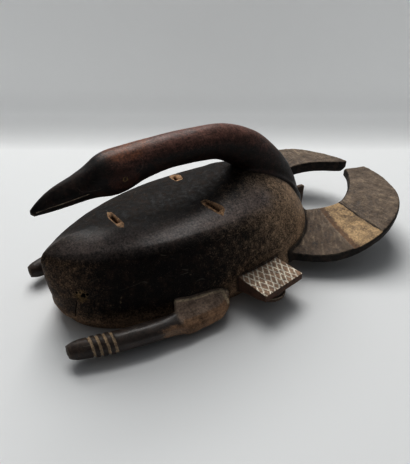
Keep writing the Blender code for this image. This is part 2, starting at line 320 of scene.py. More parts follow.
def smooth_rows(rows, gap):
    """More rows on one smooth curve through these, about this far apart."""
    rows = np.asarray(rows, float)
    padded = np.concatenate([2 * rows[:1] - rows[1:2], rows, 2 * rows[-1:] - rows[-2:-1]])
    step = np.linalg.norm(np.diff(padded, axis=0), axis=2)
    knot = np.sqrt(np.maximum(step, 1e-5))[..., None]
    result = []
    for i in range(len(rows) - 1):
        before, start, end, after = padded[i:i + 4]
        k0, k1, k2 = knot[i:i + 3]
        leave = k1 * ((start - before) / k0 - (end - before) / (k0 + k1) + (end - start) / k1)
        arrive = k1 * ((end - start) / k1 - (after - start) / (k1 + k2) + (after - end) / k2)
        parts = max(1, round(float(step[i + 1].mean()) / gap))
        for t in np.arange(parts) / parts:
            result.append((2 * t ** 3 - 3 * t ** 2 + 1) * start + (t ** 3 - 2 * t ** 2 + t) * leave
                          + (3 * t ** 2 - 2 * t ** 3) * end + (t ** 3 - t ** 2) * arrive)
    return np.array(result + [rows[-1]])


def close_up(mesh):
    """Joins points that coincide, and turns every face outwards."""
    shape = bmesh.new()
    shape.from_mesh(mesh)
    bmesh.ops.remove_doubles(shape, verts=shape.verts, dist=2e-6)
    bmesh.ops.recalc_face_normals(shape, faces=shape.faces)
    if shape.calc_volume(signed=True) < 0:
        bmesh.ops.reverse_faces(shape, faces=shape.faces)
    shape.to_mesh(mesh)
    shape.free()


def piece_from(name, points, faces, clean=True):
    mesh = bpy.data.meshes.new(name)
    mesh.from_pydata(points.tolist(), [], faces)
    if clean:
        close_up(mesh)
    mesh.shade_smooth()
    return add_object(name, mesh)


def skin(name, rows, clean=True):
    """A piece over rows of points, each row a loop. Ends that meet in a point or a line close."""
    rows = np.asarray(rows)
    index = np.arange(rows.shape[0] * rows.shape[1]).reshape(rows.shape[:2])
    low, high = index[:-1], index[1:]
    faces = np.stack([low, np.roll(low, -1, 1), np.roll(high, -1, 1), high], -1).reshape(-1, 4)
    return piece_from(name, rows.reshape(-1, 3), faces.tolist(), clean)


def numbers_of(items, name, width=1, kind=float):
    """One property of all items of a mesh."""
    found = np.empty(len(items) * width, kind)
    items.foreach_get(name, found)
    return found.reshape(-1, width) if width > 1 else found


def points_of(piece):
    return numbers_of(piece.data.vertices, "co", 3)


def normals_of(piece):
    return numbers_of(piece.data.vertex_normals, "vector", 3)


def place_points(piece, points):
    piece.data.vertices.foreach_set("co", np.ascontiguousarray(points).ravel())
    piece.data.update()


def cut_in(piece, depth):
    """Moves the surface in by this depth at each point, or out where it is negative."""
    place_points(piece, points_of(piece) - normals_of(piece) * depth[:, None])


def lumps(points, size, seed):
    """Smooth unevenness from about -1 to 1, with lumps of this size, or of three sizes in x, y and z."""
    lattice = np.random.default_rng(seed).normal(size=(32, 32, 32, 3))
    lattice /= np.linalg.norm(lattice, axis=-1, keepdims=True)
    spot = points / np.asarray(size) + 0.37 + seed % 7
    cell = np.floor(spot).astype(int)
    part = spot - cell
    ease = part ** 3 * (part * (part * 6 - 15) + 10)
    total = np.zeros(len(points))
    for corner in itertools.product((0, 1), repeat=3):
        slope = lattice[tuple(((cell + corner) % 32).T)]
        weight = np.prod(np.where(corner, ease, 1 - ease), axis=1)
        total += (slope * (part - corner)).sum(1) * weight
    return total * 1.7


def unevenness(points, layers):
    """Lumps of several sizes together. Each layer is (depth, size, seed)."""
    return sum(depth * lumps(points, size, seed) for depth, size, seed in layers)


def gouged(points, size, seed):
    """Scoops left by a blade, of this size: 0 in the middle of each scoop and 1 on the ridge between."""
    lattice = np.random.default_rng(seed).uniform(size=(32, 32, 32, 3))
    spot = points / np.asarray(size) + 0.5
    cell = np.floor(spot).astype(int)
    near = np.full(len(points), 9.0)
    for step in itertools.product((-1, 0, 1), repeat=3):
        other = cell + step
        centre = other + 0.15 + 0.7 * lattice[tuple((other % 32).T)]
        near = np.minimum(near, ((spot - centre) ** 2).sum(1))
    return np.clip(near / 0.75, 0.0, 1.0)


def shell_rows():
    """Rows from the crown line inside, down the hollow, round the rim, up the wall and over the face."""
    inside = [dome_row(s, WALL) for s in (0.0, 0.15, 0.3, 0.45, 0.6, 0.74, 0.85, 0.93)]
    inside += [wall_row(rise, WALL) for rise in (0.85, 0.6, 0.3)]
    inside.append(wall_row(0.0, WALL + HOLLOW_SETBACK, RIM_TOP_Z))
    inside.append(wall_row(0.0, WALL + HOLLOW_SETBACK * 0.9, 0.0012))
    foot = [wall_row(0.0, inset, z) for inset, z in (
        (WALL + HOLLOW_SETBACK * 0.6, 0.0), (WALL + 0.0006, 0.0), (RIM_SETBACK + 0.0009, 0.0))]
    outside = [wall_row(rise, inset, z) for rise, inset, z in (
        (0.0, RIM_SETBACK, 0.0008), (0.0, RIM_SETBACK * 0.95, 0.0040), (0.0, RIM_SETBACK * 0.85, 0.0085),
        (0.0, RIM_SETBACK * 0.75, 0.0102), (0.01, RIM_SETBACK * 0.25, 0.0116), (0.02, 0.0, 0.0126),
        (0.035, -0.0006, 0.0140), (0.055, -0.0009, 0.0158), (0.085, -0.0004, 0.0180))]
    outside += [wall_row(rise, 0.0) for rise in (0.16, 0.3, 0.55, 0.78, 0.93)]
    outside += [dome_row(s, 0.0) for s in (0.93, 0.85, 0.74, 0.6, 0.45, 0.3, 0.15, 0.0)]
    inner = smooth_rows(inside, SHELL_ROW_GAP * 1.6)
    outer = smooth_rows(outside, SHELL_ROW_GAP)
    return inner, np.array(foot), outer


inner_rows, foot_rows, outer_rows = shell_rows()
shell = skin("face_shell", np.concatenate([inner_rows, foot_rows, outer_rows]))


def hollow_side(points, normals):
    """1 on the inside of the bowl, 0 on its outside, by which way the surface looks from the middle."""
    middle = np.array([0.0, -0.045, 0.02])
    return ((points - middle) * normals).sum(1) < 0


BROAD_LUMPS = ((0.00055, 0.045, 1),)
FACE_LUMPS = BROAD_LUMPS + ((0.00028, (0.016, 0.024, 0.016), 2),)
WALL_CUT, WALL_CUT_SIZE = 0.00022, (0.011, 0.011, 0.020)
LIP_LUMPS = ((0.00045, 0.009, 6), (0.00025, 0.0038, 7))
GOUGE_CUT, GOUGE_SIZE = 0.00090, (0.012, 0.026, 0.012)

p, n = points_of(shell), normals_of(shell)
wall_mask = fade(0.75, 0.35, n[:, 2])
lip_mask = fade(0.0205, 0.0165, p[:, 2]) * fade(0.010, 0.0125, p[:, 2])
outside_depth = (unevenness(p, FACE_LUMPS) + wall_mask * WALL_CUT * gouged(p, WALL_CUT_SIZE, 3)
                 + wall_mask * unevenness(p, ((0.00010, 0.0035, 4),)) + unevenness(p, ((0.00005, 0.0045, 5),))
                 + lip_mask * unevenness(p, LIP_LUMPS))
inside_depth = unevenness(p, ((0.0006, 0.030, 9), (0.00015, 0.004, 10))) - GOUGE_CUT * gouged(p, GOUGE_SIZE, 8)
cut_in(shell, np.where(hollow_side(p, n), inside_depth, outside_depth) * fade(0.0, 0.006, p[:, 2]))
whole_shell = BVHTree.FromObject(shell, bpy.context.evaluated_depsgraph_get())

# The slits, worm holes and crack are cut with tapered solids. A slit's cutter is a wide bevel with
# a hand-cut outline at the surface, and narrows to the slit itself.

SLITS = (
    {"name": "eye_near",
     "bevel": ((0.0224, -0.0452), (0.0368, -0.0366), (0.0405, -0.0367), (0.0457, -0.0419),
               (0.0420, -0.0449), (0.0303, -0.0503), (0.0229, -0.0509)),
     "ends": ((0.0255, -0.0463), (0.0393, -0.0418))},
    {"name": "eye_far",
     "bevel": ((-0.0200, -0.0425), (-0.0300, -0.0385), (-0.0380, -0.0376), (-0.0490, -0.0398),
               (-0.0430, -0.0452), (-0.0330, -0.0484), (-0.0210, -0.0492)),
     "ends": ((-0.0255, -0.0463), (-0.0393, -0.0418))},
    {"name": "mouth",
     "bevel": ((-0.0149, -0.1214), (-0.0129, -0.1182), (-0.0020, -0.1172), (0.0102, -0.1164),
               (0.0158, -0.1189), (0.0123, -0.1227), (-0.0047, -0.1243)),
     "ends": ((-0.0065, -0.1209), (0.0055, -0.1197))},
)
SLIT_WIDTH = 0.0026
BEVEL_DEPTH = 0.0011
BEVEL_STEEP = 1.5
SCRAPED_SLOT = 2
WORM_SLOT = 3
SHELL_SLOTS = 4


def surface_at(x, y):
    """Where the face's surface is over this place in plan, and the direction out of it."""
    spot, out, _, _ = whole_shell.ray_cast(Vector((x, y, 0.2)), Vector((0, 0, -1)))
    return spot, out


def slit_cutter(slit):
    """Rows of a slit's cutter, from above the surface down to the slit's far end."""
    ends = [surface_at(*end)[0] for end in slit["ends"]]
    middle, out = surface_at(*np.mean(slit["ends"], axis=0))
    run = (ends[1] - ends[0]).normalized()
    side = out.cross(run)
    half, thin = (ends[1] - ends[0]).length / 2, SLIT_WIDTH / 2
    rim = []
    for corner, following in zip(slit["bevel"], slit["bevel"][1:] + slit["bevel"][:1]):
        for t in (0.12, 0.5, 0.88):
            rim.append(surface_at(*(blend(a, b, t) for a, b in zip(corner, following)))[0])
    angle = [math.atan2((spot - middle).dot(side) / (thin * 3), (spot - middle).dot(run) / half)
             for spot in rim]
    above = [spot + (spot - middle) * (BEVEL_STEEP - 1) * 0.5 + out * (BEVEL_STEEP - 1) * 0.0022
             for spot in rim]
    rows = [above, rim]
    for depth, grown in ((BEVEL_DEPTH, 0.00045), (0.0030, 0.0), (WALL + 0.006, 0.0)):
        row = []
        for a in angle:
            along = max(-1.0, min(1.0, 1.25 * math.cos(a))) * (half + grown)
            across = max(-1.0, min(1.0, 1.6 * math.sin(a))) * (thin + grown)
            row.append(middle + run * along + side * across - out * depth)
        rows.append(row)
    return [[tuple(spot) for spot in row] for row in rows]


def pit_cutter(place, radius, depth, seed):
    """A worm hole: a short ragged pit, square to the surface."""
    count = 11
    spot, out, _, _ = whole_shell.find_nearest(Vector(place))
    run = out.orthogonal().normalized()
    side = out.cross(run)
    uneven = np.random.default_rng(seed).uniform(0.72, 1.3, count)
    rows = []
    for scale, height in ((1.7, 0.0012), (1.25, 0.0001), (0.95, -0.0006), (0.8, -depth * 0.6), (0.4, -depth)):
        rows.append([tuple(spot + (run * math.cos(a) + side * math.sin(a)) * radius * scale * u + out * height)
                     for a, u in zip(np.arange(count) * 2 * math.pi / count, uneven)])
    return rows


def crack_cutter(line, width, depth):
    """A thin wedge that opens along a line on the wall."""
    rows = []
    for height, opened in ((0.001, 1.3), (-depth, 0.2)):
        left, right = [], []
        for i, place in enumerate(line):
            spot, out, _, _ = whole_shell.find_nearest(Vector(place))
            ahead = Vector(line[min(i + 1, len(line) - 1)]) - Vector(line[max(i - 1, 0)])
            side = out.cross(ahead.normalized())
            swell = width * (0.35 + 0.65 * math.sin(math.pi * (i + 0.5) / len(line))) * opened
            left.append(tuple(spot + side * swell + out * height))
            right.append(tuple(spot - side * swell + out * height))
        rows.append(left + right[::-1])
    return rows


WORM_HOLES = (((0.0265, -0.1689, 0.0400), 0.0010, 0.0040), ((0.0304, -0.1649, 0.0379), 0.0017, 0.0050),
              ((0.0326, -0.1622, 0.0394), 0.0011, 0.0035), ((0.0287, -0.1668, 0.0402), 0.0006, 0.0020))
CHIN_CRACK = ((0.0272, -0.1703, 0.0330), (0.0269, -0.1706, 0.0284), (0.0262, -0.1714, 0.0235),
              (0.0262, -0.1722, 0.0195), (0.0256, -0.1726, 0.0165))
CRACK_WIDTH = 0.00045
CRACK_DEPTH = 0.0025


def cutter_solid(name, groups, slot):
    """A solid from groups of rows, whose faces carry a material slot into what they cut."""
    mesh = bpy.data.meshes.new(name)
    shape = bmesh.new()
    for levels in groups:
        rows = [[shape.verts.new(point) for point in level] for level in levels]
        for low, high in zip(rows, rows[1:]):
            for i in range(len(low)):
                j = (i + 1) % len(low)
                shape.faces.new((low[i], low[j], high[j], high[i]))
        shape.faces.new(rows[0][::-1])
        shape.faces.new(rows[-1])
    bmesh.ops.triangulate(shape, faces=shape.faces)
    bmesh.ops.recalc_face_normals(shape, faces=shape.faces)
    for face in shape.faces:
        face.material_index = slot
    shape.to_mesh(mesh)
    shape.free()
    return add_object(name, mesh)


def keep_result(piece):
    """Makes what the piece's modifiers give its own plain mesh."""
    view = bpy.context.evaluated_depsgraph_get()
    mesh = bpy.data.meshes.new_from_object(piece.evaluated_get(view), depsgraph=view)
    piece.modifiers.clear()
    old, piece.data = piece.data, mesh
    mesh.name = piece.name
    bpy.data.meshes.remove(old)


def cut_away(piece, solid):
    """Takes the solid out of the piece for good."""
    step = piece.modifiers.new("cut", "BOOLEAN")
    step.operation, step.solver, step.object = "DIFFERENCE", "EXACT", solid
    keep_result(piece)
    bpy.data.objects.remove(solid, do_unlink=True)


slit_cutters = cutter_solid("slit_cutters", [slit_cutter(slit) for slit in SLITS], SCRAPED_SLOT)
pits = [pit_cutter(*hole, 20 + i) for i, hole in enumerate(WORM_HOLES)]
worm_cutters = cutter_solid("worm_cutters", pits + [crack_cutter(CHIN_CRACK, CRACK_WIDTH, CRACK_DEPTH)], WORM_SLOT)
for solid in (slit_cutters, worm_cutters, shell):
    for _ in range(SHELL_SLOTS):
        solid.data.materials.append(None)
cut_away(shell, slit_cutters)
cut_away(shell, worm_cutters)


def attach(piece, **masks):
    """Writes one number for each point of the mesh and each mask, which the material reads by its name."""
    for name, values in masks.items():
        made = piece.data.attributes.new(name, "FLOAT", "POINT")
        made.data.foreach_set("value", np.asarray(values, np.float32))


def worn_by_shape(piece, passes):
    """How far each point stands out from its neighbours, above 0 on edges and below 0 in grooves."""
    mesh = piece.data
    a, b = numbers_of(mesh.edges, "vertices", 2, int).T
    points, normals = points_of(piece), normals_of(piece)
    count = np.bincount(np.concatenate([a, b]), minlength=len(points)).clip(1)

    def neighbours(values):
        total = np.zeros_like(values)
        np.add.at(total, a, values[b])
        np.add.at(total, b, values[a])
        return total / (count if values.ndim == 1 else count[:, None])

    reach = np.zeros(len(points))
    length = np.linalg.norm(points[a] - points[b], axis=1)
    np.add.at(reach, a, length)
    np.add.at(reach, b, length)
    reach /= count
    curve = ((points - neighbours(points)) * normals).sum(1) / np.maximum(reach, 1e-5) ** 2
    for _ in range(passes):
        curve = 0.5 * curve + 0.5 * neighbours(curve)
    return curve * 0.001


def add_math(tree, kind, *values, clamp=False):
    """One Math node. Each value is a number or a socket."""
    node = tree.nodes.new("ShaderNodeMath")
    node.operation, node.use_clamp = kind, clamp
    for socket, value in zip(node.inputs, values):
        feed(tree, value, socket)
    return node.outputs[0]


def plus(tree, first, *others):
    """Values added up, each a number or a socket."""
    for other in others:
        first = add_math(tree, "ADD", first, other)
    return first


def less(tree, first, other):
    return add_math(tree, "SUBTRACT", first, other)


def times(tree, first, *others):
    """Values multiplied with each other, each a number or a socket."""
    for other in others:
        first = add_math(tree, "MULTIPLY", first, other)
    return first


def shader_group(name, ins, outs):
    tree = bpy.data.node_groups.new(name, "ShaderNodeTree")
    kinds = {"colour": "NodeSocketColor", "value": "NodeSocketFloat"}
    for label, (kind, value) in ins.items():
        tree.interface.new_socket(label, in_out="INPUT", socket_type=kinds[kind]).default_value = value
    for label, kind in outs.items():
        tree.interface.new_socket(label, in_out="OUTPUT", socket_type=kinds[kind])
    return tree, tree.nodes.new("NodeGroupInput").outputs, tree.nodes.new("NodeGroupOutput").inputs


def add_noise(tree, scale, detail, roughness=0.55, stretch=(1.0, 1.0, 1.0), shift=0.0):
    """Noise on the wood itself, by Object coordinates, stretched where the grain is."""
    place, mapping, node = (tree.nodes.new(kind) for kind in (
        "ShaderNodeTexCoord", "ShaderNodeMapping", "ShaderNodeTexNoise"))
    for name, value in (("Scale", scale), ("Detail", detail), ("Roughness", roughness)):
        node.inputs[name].default_value = value
    mapping.inputs["Scale"].default_value = stretch
    mapping.inputs["Location"].default_value = (shift, shift * 0.7, shift * 0.3)
    tree.links.new(place.outputs["Object"], mapping.inputs["Vector"])
    tree.links.new(mapping.outputs[0], node.inputs["Vector"])
    return node.outputs["Fac"]


def read_value(tree, name):
    node = tree.nodes.new("ShaderNodeAttribute")
    node.attribute_name = name
    return node.outputs["Fac"]


def ragged_group():
    """Gives a soft mask a ragged edge, as paint and dirt have on wood."""
    tree, start, end = shader_group("ragged_edge", {
        "Mask": ("value", 0.0), "Ragged": ("value", 0.5), "Strength": ("value", 1.0)}, {"Mask": "value"})
    noise = plus(tree, add_noise(tree, 190.0, 5.0, 0.62), add_noise(tree, 900.0, 2.0, 0.5, shift=3.0))
    noise = times(tree, less(tree, noise, 1.0), start["Ragged"])
    mask = add_fade(tree, plus(tree, start["Mask"], noise), 0.25, 0.75)
    tree.links.new(times(tree, mask, start["Strength"]), end["Mask"])
    return tree


def old_wood_group():
    """Old wood over one tone: grain, mottling, brown patches, scratches, specks, a darker tone near joins and worn
    edges.
    """
    ins = {"Tone": (0.02, 0.015, 0.012, 1.0), "Patch Tone": (0.05, 0.03, 0.02, 1.0),
           "Worn Tone": (0.2, 0.16, 0.12, 1.0), "Join Tone": (0.004, 0.003, 0.003, 1.0),
           "Dust Tone": (0.3, 0.28, 0.25, 1.0), "Mottle": 0.5, "Grain": 0.4, "Speckle": 0.4, "Patches": 0.5,
           "Scratches": 0.3, "Specks": 0.3, "Wear": 0.6, "Dust": 0.15, "Rough Low": 0.35, "Rough High": 0.65}
    tree, start, end = shader_group(
        "old_wood", {label: ("value" if isinstance(value, float) else "colour", value) for label, value in ins.items()},
        {"Color": "colour", "Roughness": "value", "Height": "value"})

    def centred(value, amount):
        return times(tree, less(tree, value, 0.5), amount)

    grain = add_noise(tree, 900.0, 4.0, 0.6, stretch=(1.0, 0.07, 1.0))
    broad = add_noise(tree, 42.0, 4.0, 0.6)
    middle = add_noise(tree, 240.0, 4.0, 0.65, shift=5.0)
    small = add_noise(tree, 620.0, 3.0, 0.6, shift=2.0)
    fine = add_noise(tree, 1500.0, 3.0, 0.6, shift=9.0)

    # Brown patches, then mottling, speckle and grain in how bright the tone is.
    patch = plus(tree, times(tree, add_noise(tree, 120.0, 5.0, 0.7, shift=7.0), 0.75), times(tree, middle, 0.25))
    patch = times(tree, add_fade(tree, patch, 0.46, 0.60), start["Patches"])
    colour = add_mix(tree, patch, start["Tone"], start["Patch Tone"])
    level = plus(tree, times(tree, plus(tree, centred(broad, 1.3), centred(middle, 1.4)), start["Mottle"]),
                 times(tree, centred(small, 2.2), start["Speckle"]), times(tree, centred(grain, 1.0), start["Grain"]))
    bright = add_math(tree, "MAXIMUM", plus(tree, 1.0, times(tree, level, 2.0)), 0.25)
    colour = add_vector(tree, "SCALE", colour, bright)

    # Worn edges, dust that has settled on top, long scratches, pale specks, and a darker tone near the joins between
    # parts.
    worn = add_fade(tree, plus(tree, read_value(tree, "worn"), centred(middle, 0.5)), 0.10, 0.55)
    upward = part_of(tree, tree.nodes.new("ShaderNodeNewGeometry").outputs["Normal"], "Z")
    settled = times(tree, add_fade(tree, upward, 0.1, 0.95), add_fade(tree, plus(tree, middle, broad), 0.75, 1.35))
    hair = centred(add_noise(tree, 60.0, 1.0, 0.3, stretch=(1.0, 0.30, 1.0), shift=11.0), 1.0)
    hair = less(tree, 1.0, add_fade(tree, add_math(tree, "ABSOLUTE", hair), 0.0, 0.007))
    hair = times(tree, hair, add_fade(tree, add_noise(tree, 120.0, 1.0, 0.5, shift=13.0), 0.50, 0.62))
    speck = times(tree, add_fade(tree, fine, 0.64, 0.72), start["Specks"])
    crease = add_fade(tree, plus(tree, read_value(tree, "crease"), centred(middle, 0.4)), 0.25, 0.85)
    for amount, over in ((times(tree, worn, start["Wear"]), "Worn Tone"),
                         (times(tree, settled, start["Dust"]), "Dust Tone"),
                         (times(tree, hair, start["Scratches"]), "Dust Tone"),
                         (speck, "Dust Tone"), (times(tree, crease, 0.6), "Join Tone")):
        colour = add_mix(tree, amount, colour, start[over])
    tree.links.new(colour, end["Color"])

    rough = add_fade(tree, plus(tree, times(tree, middle, 0.6), times(tree, fine, 0.4)), 0.35, 0.65)
    rough = times(tree, rough, less(tree, start["Rough High"], start["Rough Low"]))
    dusty = times(tree, plus(tree, settled, speck), 0.25)
    rough = add_math(tree, "ADD", plus(tree, start["Rough Low"], rough), dusty, clamp=True)
    tree.links.new(rough, end["Roughness"])
    height = plus(tree, times(tree, middle, 0.6), times(tree, fine, 0.22), times(tree, plus(tree, grain, small), 0.45))
    tree.links.new(height, end["Height"])
    return tree


OLD_WOOD = old_wood_group()
RAGGED = ragged_group()
DUST_TONE = paint(176, 166, 150)
WORN_TONE = paint(140, 118, 94)
JOIN_TONE = paint(24, 17, 13)


def add_group(tree, group, values):
    node = tree.nodes.new("ShaderNodeGroup")
    node.node_tree = group
    for label, value in values.items():
        feed(tree, value, node.inputs[label])
    return node.outputs


def wood_material(name, tone, layers=(), bump=0.0004, specular=0.3, coat=("", 0.0, 0.4), **values):
    """A Principled wood. Each layer is (mask's name, colour, ragged, strength), laid over the tone in turn."""
    material = bpy.data.materials.new(name)
    material.use_nodes = True
    tree = material.node_tree
    shader = tree.nodes["Principled BSDF"]
    colour = tone
    for mask, over, ragged, strength in layers:
        edge = add_group(tree, RAGGED, {"Mask": read_value(tree, mask), "Ragged": ragged, "Strength": strength})
        colour = add_mix(tree, edge["Mask"], colour, over)
    given = {"Tone": colour, "Worn Tone": WORN_TONE, "Join Tone": JOIN_TONE, "Dust Tone": DUST_TONE}
    given.update((label.replace("_", " ").title(), value) for label, value in values.items())
    wood = add_group(tree, OLD_WOOD, given)
    tree.links.new(wood["Color"], shader.inputs["Base Color"])
    tree.links.new(wood["Roughness"], shader.inputs["Roughness"])
    relief = tree.nodes.new("ShaderNodeBump")
    relief.inputs["Distance"].default_value = bump
    relief.inputs["Strength"].default_value = 1.0
    tree.links.new(wood["Height"], relief.inputs["Height"])
    tree.links.new(relief.outputs[0], shader.inputs["Normal"])
    mask, weight, roughness = coat
    if mask:
        tree.links.new(times(tree, read_value(tree, mask), weight), shader.inputs["Coat Weight"])
    shader.inputs["Coat Roughness"].default_value = roughness
    shader.inputs["Specular IOR Level"].default_value = specular
    return material


WORN_PASSES = 3


def hand_over(piece):
    """Marks a finished piece's worn edges, hangs it on the root body and hides the CAD part it stands for."""
    piece.data.shade_smooth()
    attach(piece, worn=worn_by_shape(piece, WORN_PASSES))
    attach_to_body(piece, "root")
    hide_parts("kpelie_mask")


# The low_wall and head_end layers paint a paler brown on the lower wall, the chin end and the head end: partly the
# wood's own dusty brown, partly painted fill light.
shell_outside = wood_material("smoked_face_wood", paint(14, 8, 8), (
    ("low_wall", paint(140, 114, 90), 0.5, 0.95), ("face_top", paint(16, 12, 12), 0.30, 1.0),
    # The pale band along the near side of the face top is a painted sheen.
    ("head_end", paint(184, 158, 132), 0.45, 0.95), ("shoulder", paint(112, 100, 95), 0.30, 0.95),
    ("halo", paint(122, 98, 62), 0.9, 0.9), ("scratch", paint(112, 96, 76), 0.6, 0.8)),
    bump=0.00034, specular=0.11, coat=("sheen", 0.8, 0.40), patch_tone=paint(60, 42, 32), patches=0.30, mottle=0.65,
    grain=0.60, speckle=0.80, rough_low=0.45, rough_high=0.68, specks=0.30, dust=0.04, scratches=0.14)
shell_inside = wood_material("gouged_inside_wood", paint(84, 62, 46), bump=0.0006, patch_tone=paint(58, 42, 33),
                             rough_low=0.6, rough_high=0.9, grain=0.8, wear=0.5)
scraped = wood_material("scraped_wood", paint(166, 132, 100), bump=0.0005, worn_tone=paint(176, 148, 112),
                        patch_tone=paint(84, 64, 47), patches=0.8, rough_low=0.6, rough_high=0.9, mottle=0.9, grain=0.8,
                        speckle=0.7, wear=0.6)
worm_wood = wood_material("worm_eaten_wood", paint(40, 30, 22), bump=0.0005, specular=0.1, patch_tone=paint(30, 20, 15),
                          rough_low=0.8, rough_high=0.95, mottle=0.8, worn_tone=paint(96, 80, 56))


def spot_distance(points, spot, stretch=1.0):
    """How far each point is from a spot, with distances stretched in x, y and z."""
    return np.linalg.norm((points - np.array(spot)) * stretch, axis=1)


def line_distance(points, line):
    """How far each point is from a line of short straight runs."""
    near = np.full(len(points), 9.0)
    for start, end in zip(np.array(line), np.array(line)[1:]):
        run = end - start
        t = np.clip(((points - start) @ run) / (run @ run), 0.0, 1.0)
        near = np.minimum(near, np.linalg.norm(points - start - t[:, None] * run, axis=1))
    return near


def soft(mask):
    """A mask whose ragged edge stays as soft as the mask itself."""
    return 0.18 + 0.57 * (0.5 - np.sin(np.arcsin(1.0 - 2.0 * np.clip(mask, 0.0, 1.0)) / 3.0))


# A painted sheen: a pale band painted into the colour along the near side of the face top, wider towards its middle
# than outwards; the coat is also stronger along it.
SHEEN_LINE = ((0.0000, -0.1800), (0.0076, -0.1700), (0.0199, -0.1501), (0.0263, -0.1361), (0.0322, -0.1218),
              (0.0379, -0.1069), (0.0415, -0.0908), (0.0442, -0.0742), (0.0457, -0.0556), (0.0474, -0.0363),
              (0.0453, -0.0134), (0.0430, 0.0050))
SHEEN_HALF = 0.0085
SHEEN_SPREAD = (1.7, 0.9)
CHIN_SCRATCH = ((0.0470, -0.1402, 0.0362), (0.0480, -0.1426, 0.0275), (0.0499, -0.1433, 0.0138))
FACE_CHIP = ((0.0001, -0.1584, 0.0714), (0.0011, -0.1584, 0.0714))
WORM_HALO_CENTRE = (0.0290, -0.1660, 0.0370)

p, n = points_of(shell), normals_of(shell)
x, y, z = p.T
face_top = fade(0.42, 0.80, n[:, 2])
# Mask of the painted sheen: a band along SHEEN_LINE on faces that lean upwards.
line_x, line_y = np.array(SHEEN_LINE).T
spread = np.where(x < np.interp(y, line_y, line_x), *SHEEN_SPREAD)
shoulder = np.exp(-(line_distance(p[:, :2], SHEEN_LINE) / SHEEN_HALF / spread) ** 2)
shoulder *= fade(0.40, 0.62, n[:, 2]) * fade(-0.205, -0.140, y)
# The paler lower wall, chin end and head end masks below carry painted fill light as well as the wood's brown.
chin_end = 0.38 * fade(-0.140, -0.172, y)
low_reach = 0.028 + 0.020 * fade(-0.075, -0.035, y)
scratch_gap = np.minimum(line_distance(p, CHIN_SCRATCH), line_distance(p, FACE_CHIP))
attach(shell, face_top=face_top, shoulder=soft(shoulder), sheen=np.maximum(shoulder, 0.05 * face_top),
       low_wall=soft(np.maximum(fade(low_reach, 0.012, z), chin_end) * (1.0 - face_top)),
       head_end=soft(fade(-0.105, 0.075, y) ** 1.3 * fade(-0.005, 0.045, x + 0.3 * y)),
       scratch=fade(0.0007, 0.0001, scratch_gap),
       halo=0.85 * fade(0.010, 0.001, spot_distance(p, WORM_HALO_CENTRE)))
sides = shell.data.polygons
cut_slot = numbers_of(sides, "material_index", 1, np.int32)
from_inside = hollow_side(numbers_of(sides, "center", 3), numbers_of(sides, "normal", 3))
which = np.where(cut_slot > 0, cut_slot, np.where(from_inside, 1, 0))
shell.data.materials.clear()
for material in (shell_outside, shell_inside, scraped, worm_wood):
    shell.data.materials.append(material)
sides.foreach_set("material_index", which.astype(np.int32))
shell.data.update()
hand_over(shell)


# Joining the carved parts
# Mask, bird, horns, legs and blocks are one block of wood. Where a part grows out of the shell it
# runs out in a small hollow curve, and its end stays inside the thickness of the wall.


def tree_of(piece):
    return BVHTree.FromPolygons([tuple(v.co) for v in piece.data.vertices],
                                [tuple(f.vertices) for f in piece.data.polygons])


def skin_gap(points, tree):
    """The distance outside a surface, negative inside it, with the nearest places and directions."""
    gap, spots, outs = np.empty(len(points)), np.empty((len(points), 3)), np.empty((len(points), 3))
    for i, point in enumerate(points.tolist()):
        spot, out, _, distance = tree.find_nearest(point)
        spots[i], outs[i] = spot, out
        gap[i] = distance
    under = (((points - spots) * outs).sum(1) < 0) & (points[:, 2] < spots[:, 2] + 0.002)
    return np.where(under, -gap, gap), spots, outs


outer_skin = skin("outer_skin", outer_rows)
if normals_of(outer_skin)[np.argmax(points_of(outer_skin)[:, 2]), 2] < 0:
    outer_skin.data.flip_normals()
cut_in(outer_skin, unevenness(points_of(outer_skin), BROAD_LUMPS))
outer_tree = tree_of(outer_skin)
bpy.data.objects.remove(outer_skin, do_unlink=True)

JOINT_CURVE = 0.0035
ROOT_DEPTH = 0.0035


def grow_from_shell(piece, curve=JOINT_CURVE):
    """Flares the piece where it meets the shell, and tucks what is inside into the wall."""
    points, normals = points_of(piece), normals_of(piece)
    gap, spots, outs = skin_gap(points, outer_tree)
    near = np.clip(gap, 0.0, curve)
    flare = curve - np.sqrt(np.maximum(curve ** 2 - (curve - near) ** 2, 0.0))
    points = points + normals * (flare * 0.8 * (gap > -ROOT_DEPTH))[:, None]
    deep = gap < -ROOT_DEPTH
    points[deep] = spots[deep] - outs[deep] * ROOT_DEPTH
    points[:, 2] = np.maximum(points[:, 2], 0.0004)
    place_points(piece, points)


# Bird
# A long-necked bird in one piece with the face. The neck rises from the back of the head, arches
# forward over the face and ends in a head with drilled eyes and a long beak. Its top is worn red brown
# by handling, with painted top light that makes it lighter the more it faces up; below it is black with smoke.

BIRD = (
    (-0.1815, 0.1037, 0.0024, 0.0027), (-0.1720, 0.1074, 0.0057, 0.0063), (-0.1600, 0.1111, 0.0084, 0.0092),
    (-0.1450, 0.1143, 0.0106, 0.0112), (-0.1345, 0.1165, 0.0122, 0.0134), (-0.1240, 0.1186, 0.0156, 0.0170),
    (-0.1130, 0.1205, 0.0166, 0.0179), (-0.0950, 0.1238, 0.0152, 0.0156), (-0.0700, 0.1261, 0.0141, 0.0143),
    (-0.0400, 0.1257, 0.0143, 0.0145), (-0.0130, 0.1224, 0.0146, 0.0160), (0.0120, 0.1104, 0.0157, 0.0188),
    (0.0330, 0.0918, 0.0166, 0.0206), (0.0500, 0.0711, 0.0166, 0.0219), (0.0620, 0.0472, 0.0165, 0.0226),
    (0.0680, 0.0233, 0.0165, 0.0231),
)
BIRD_AROUND = 104
BIRD_ROW_GAP = 0.0010


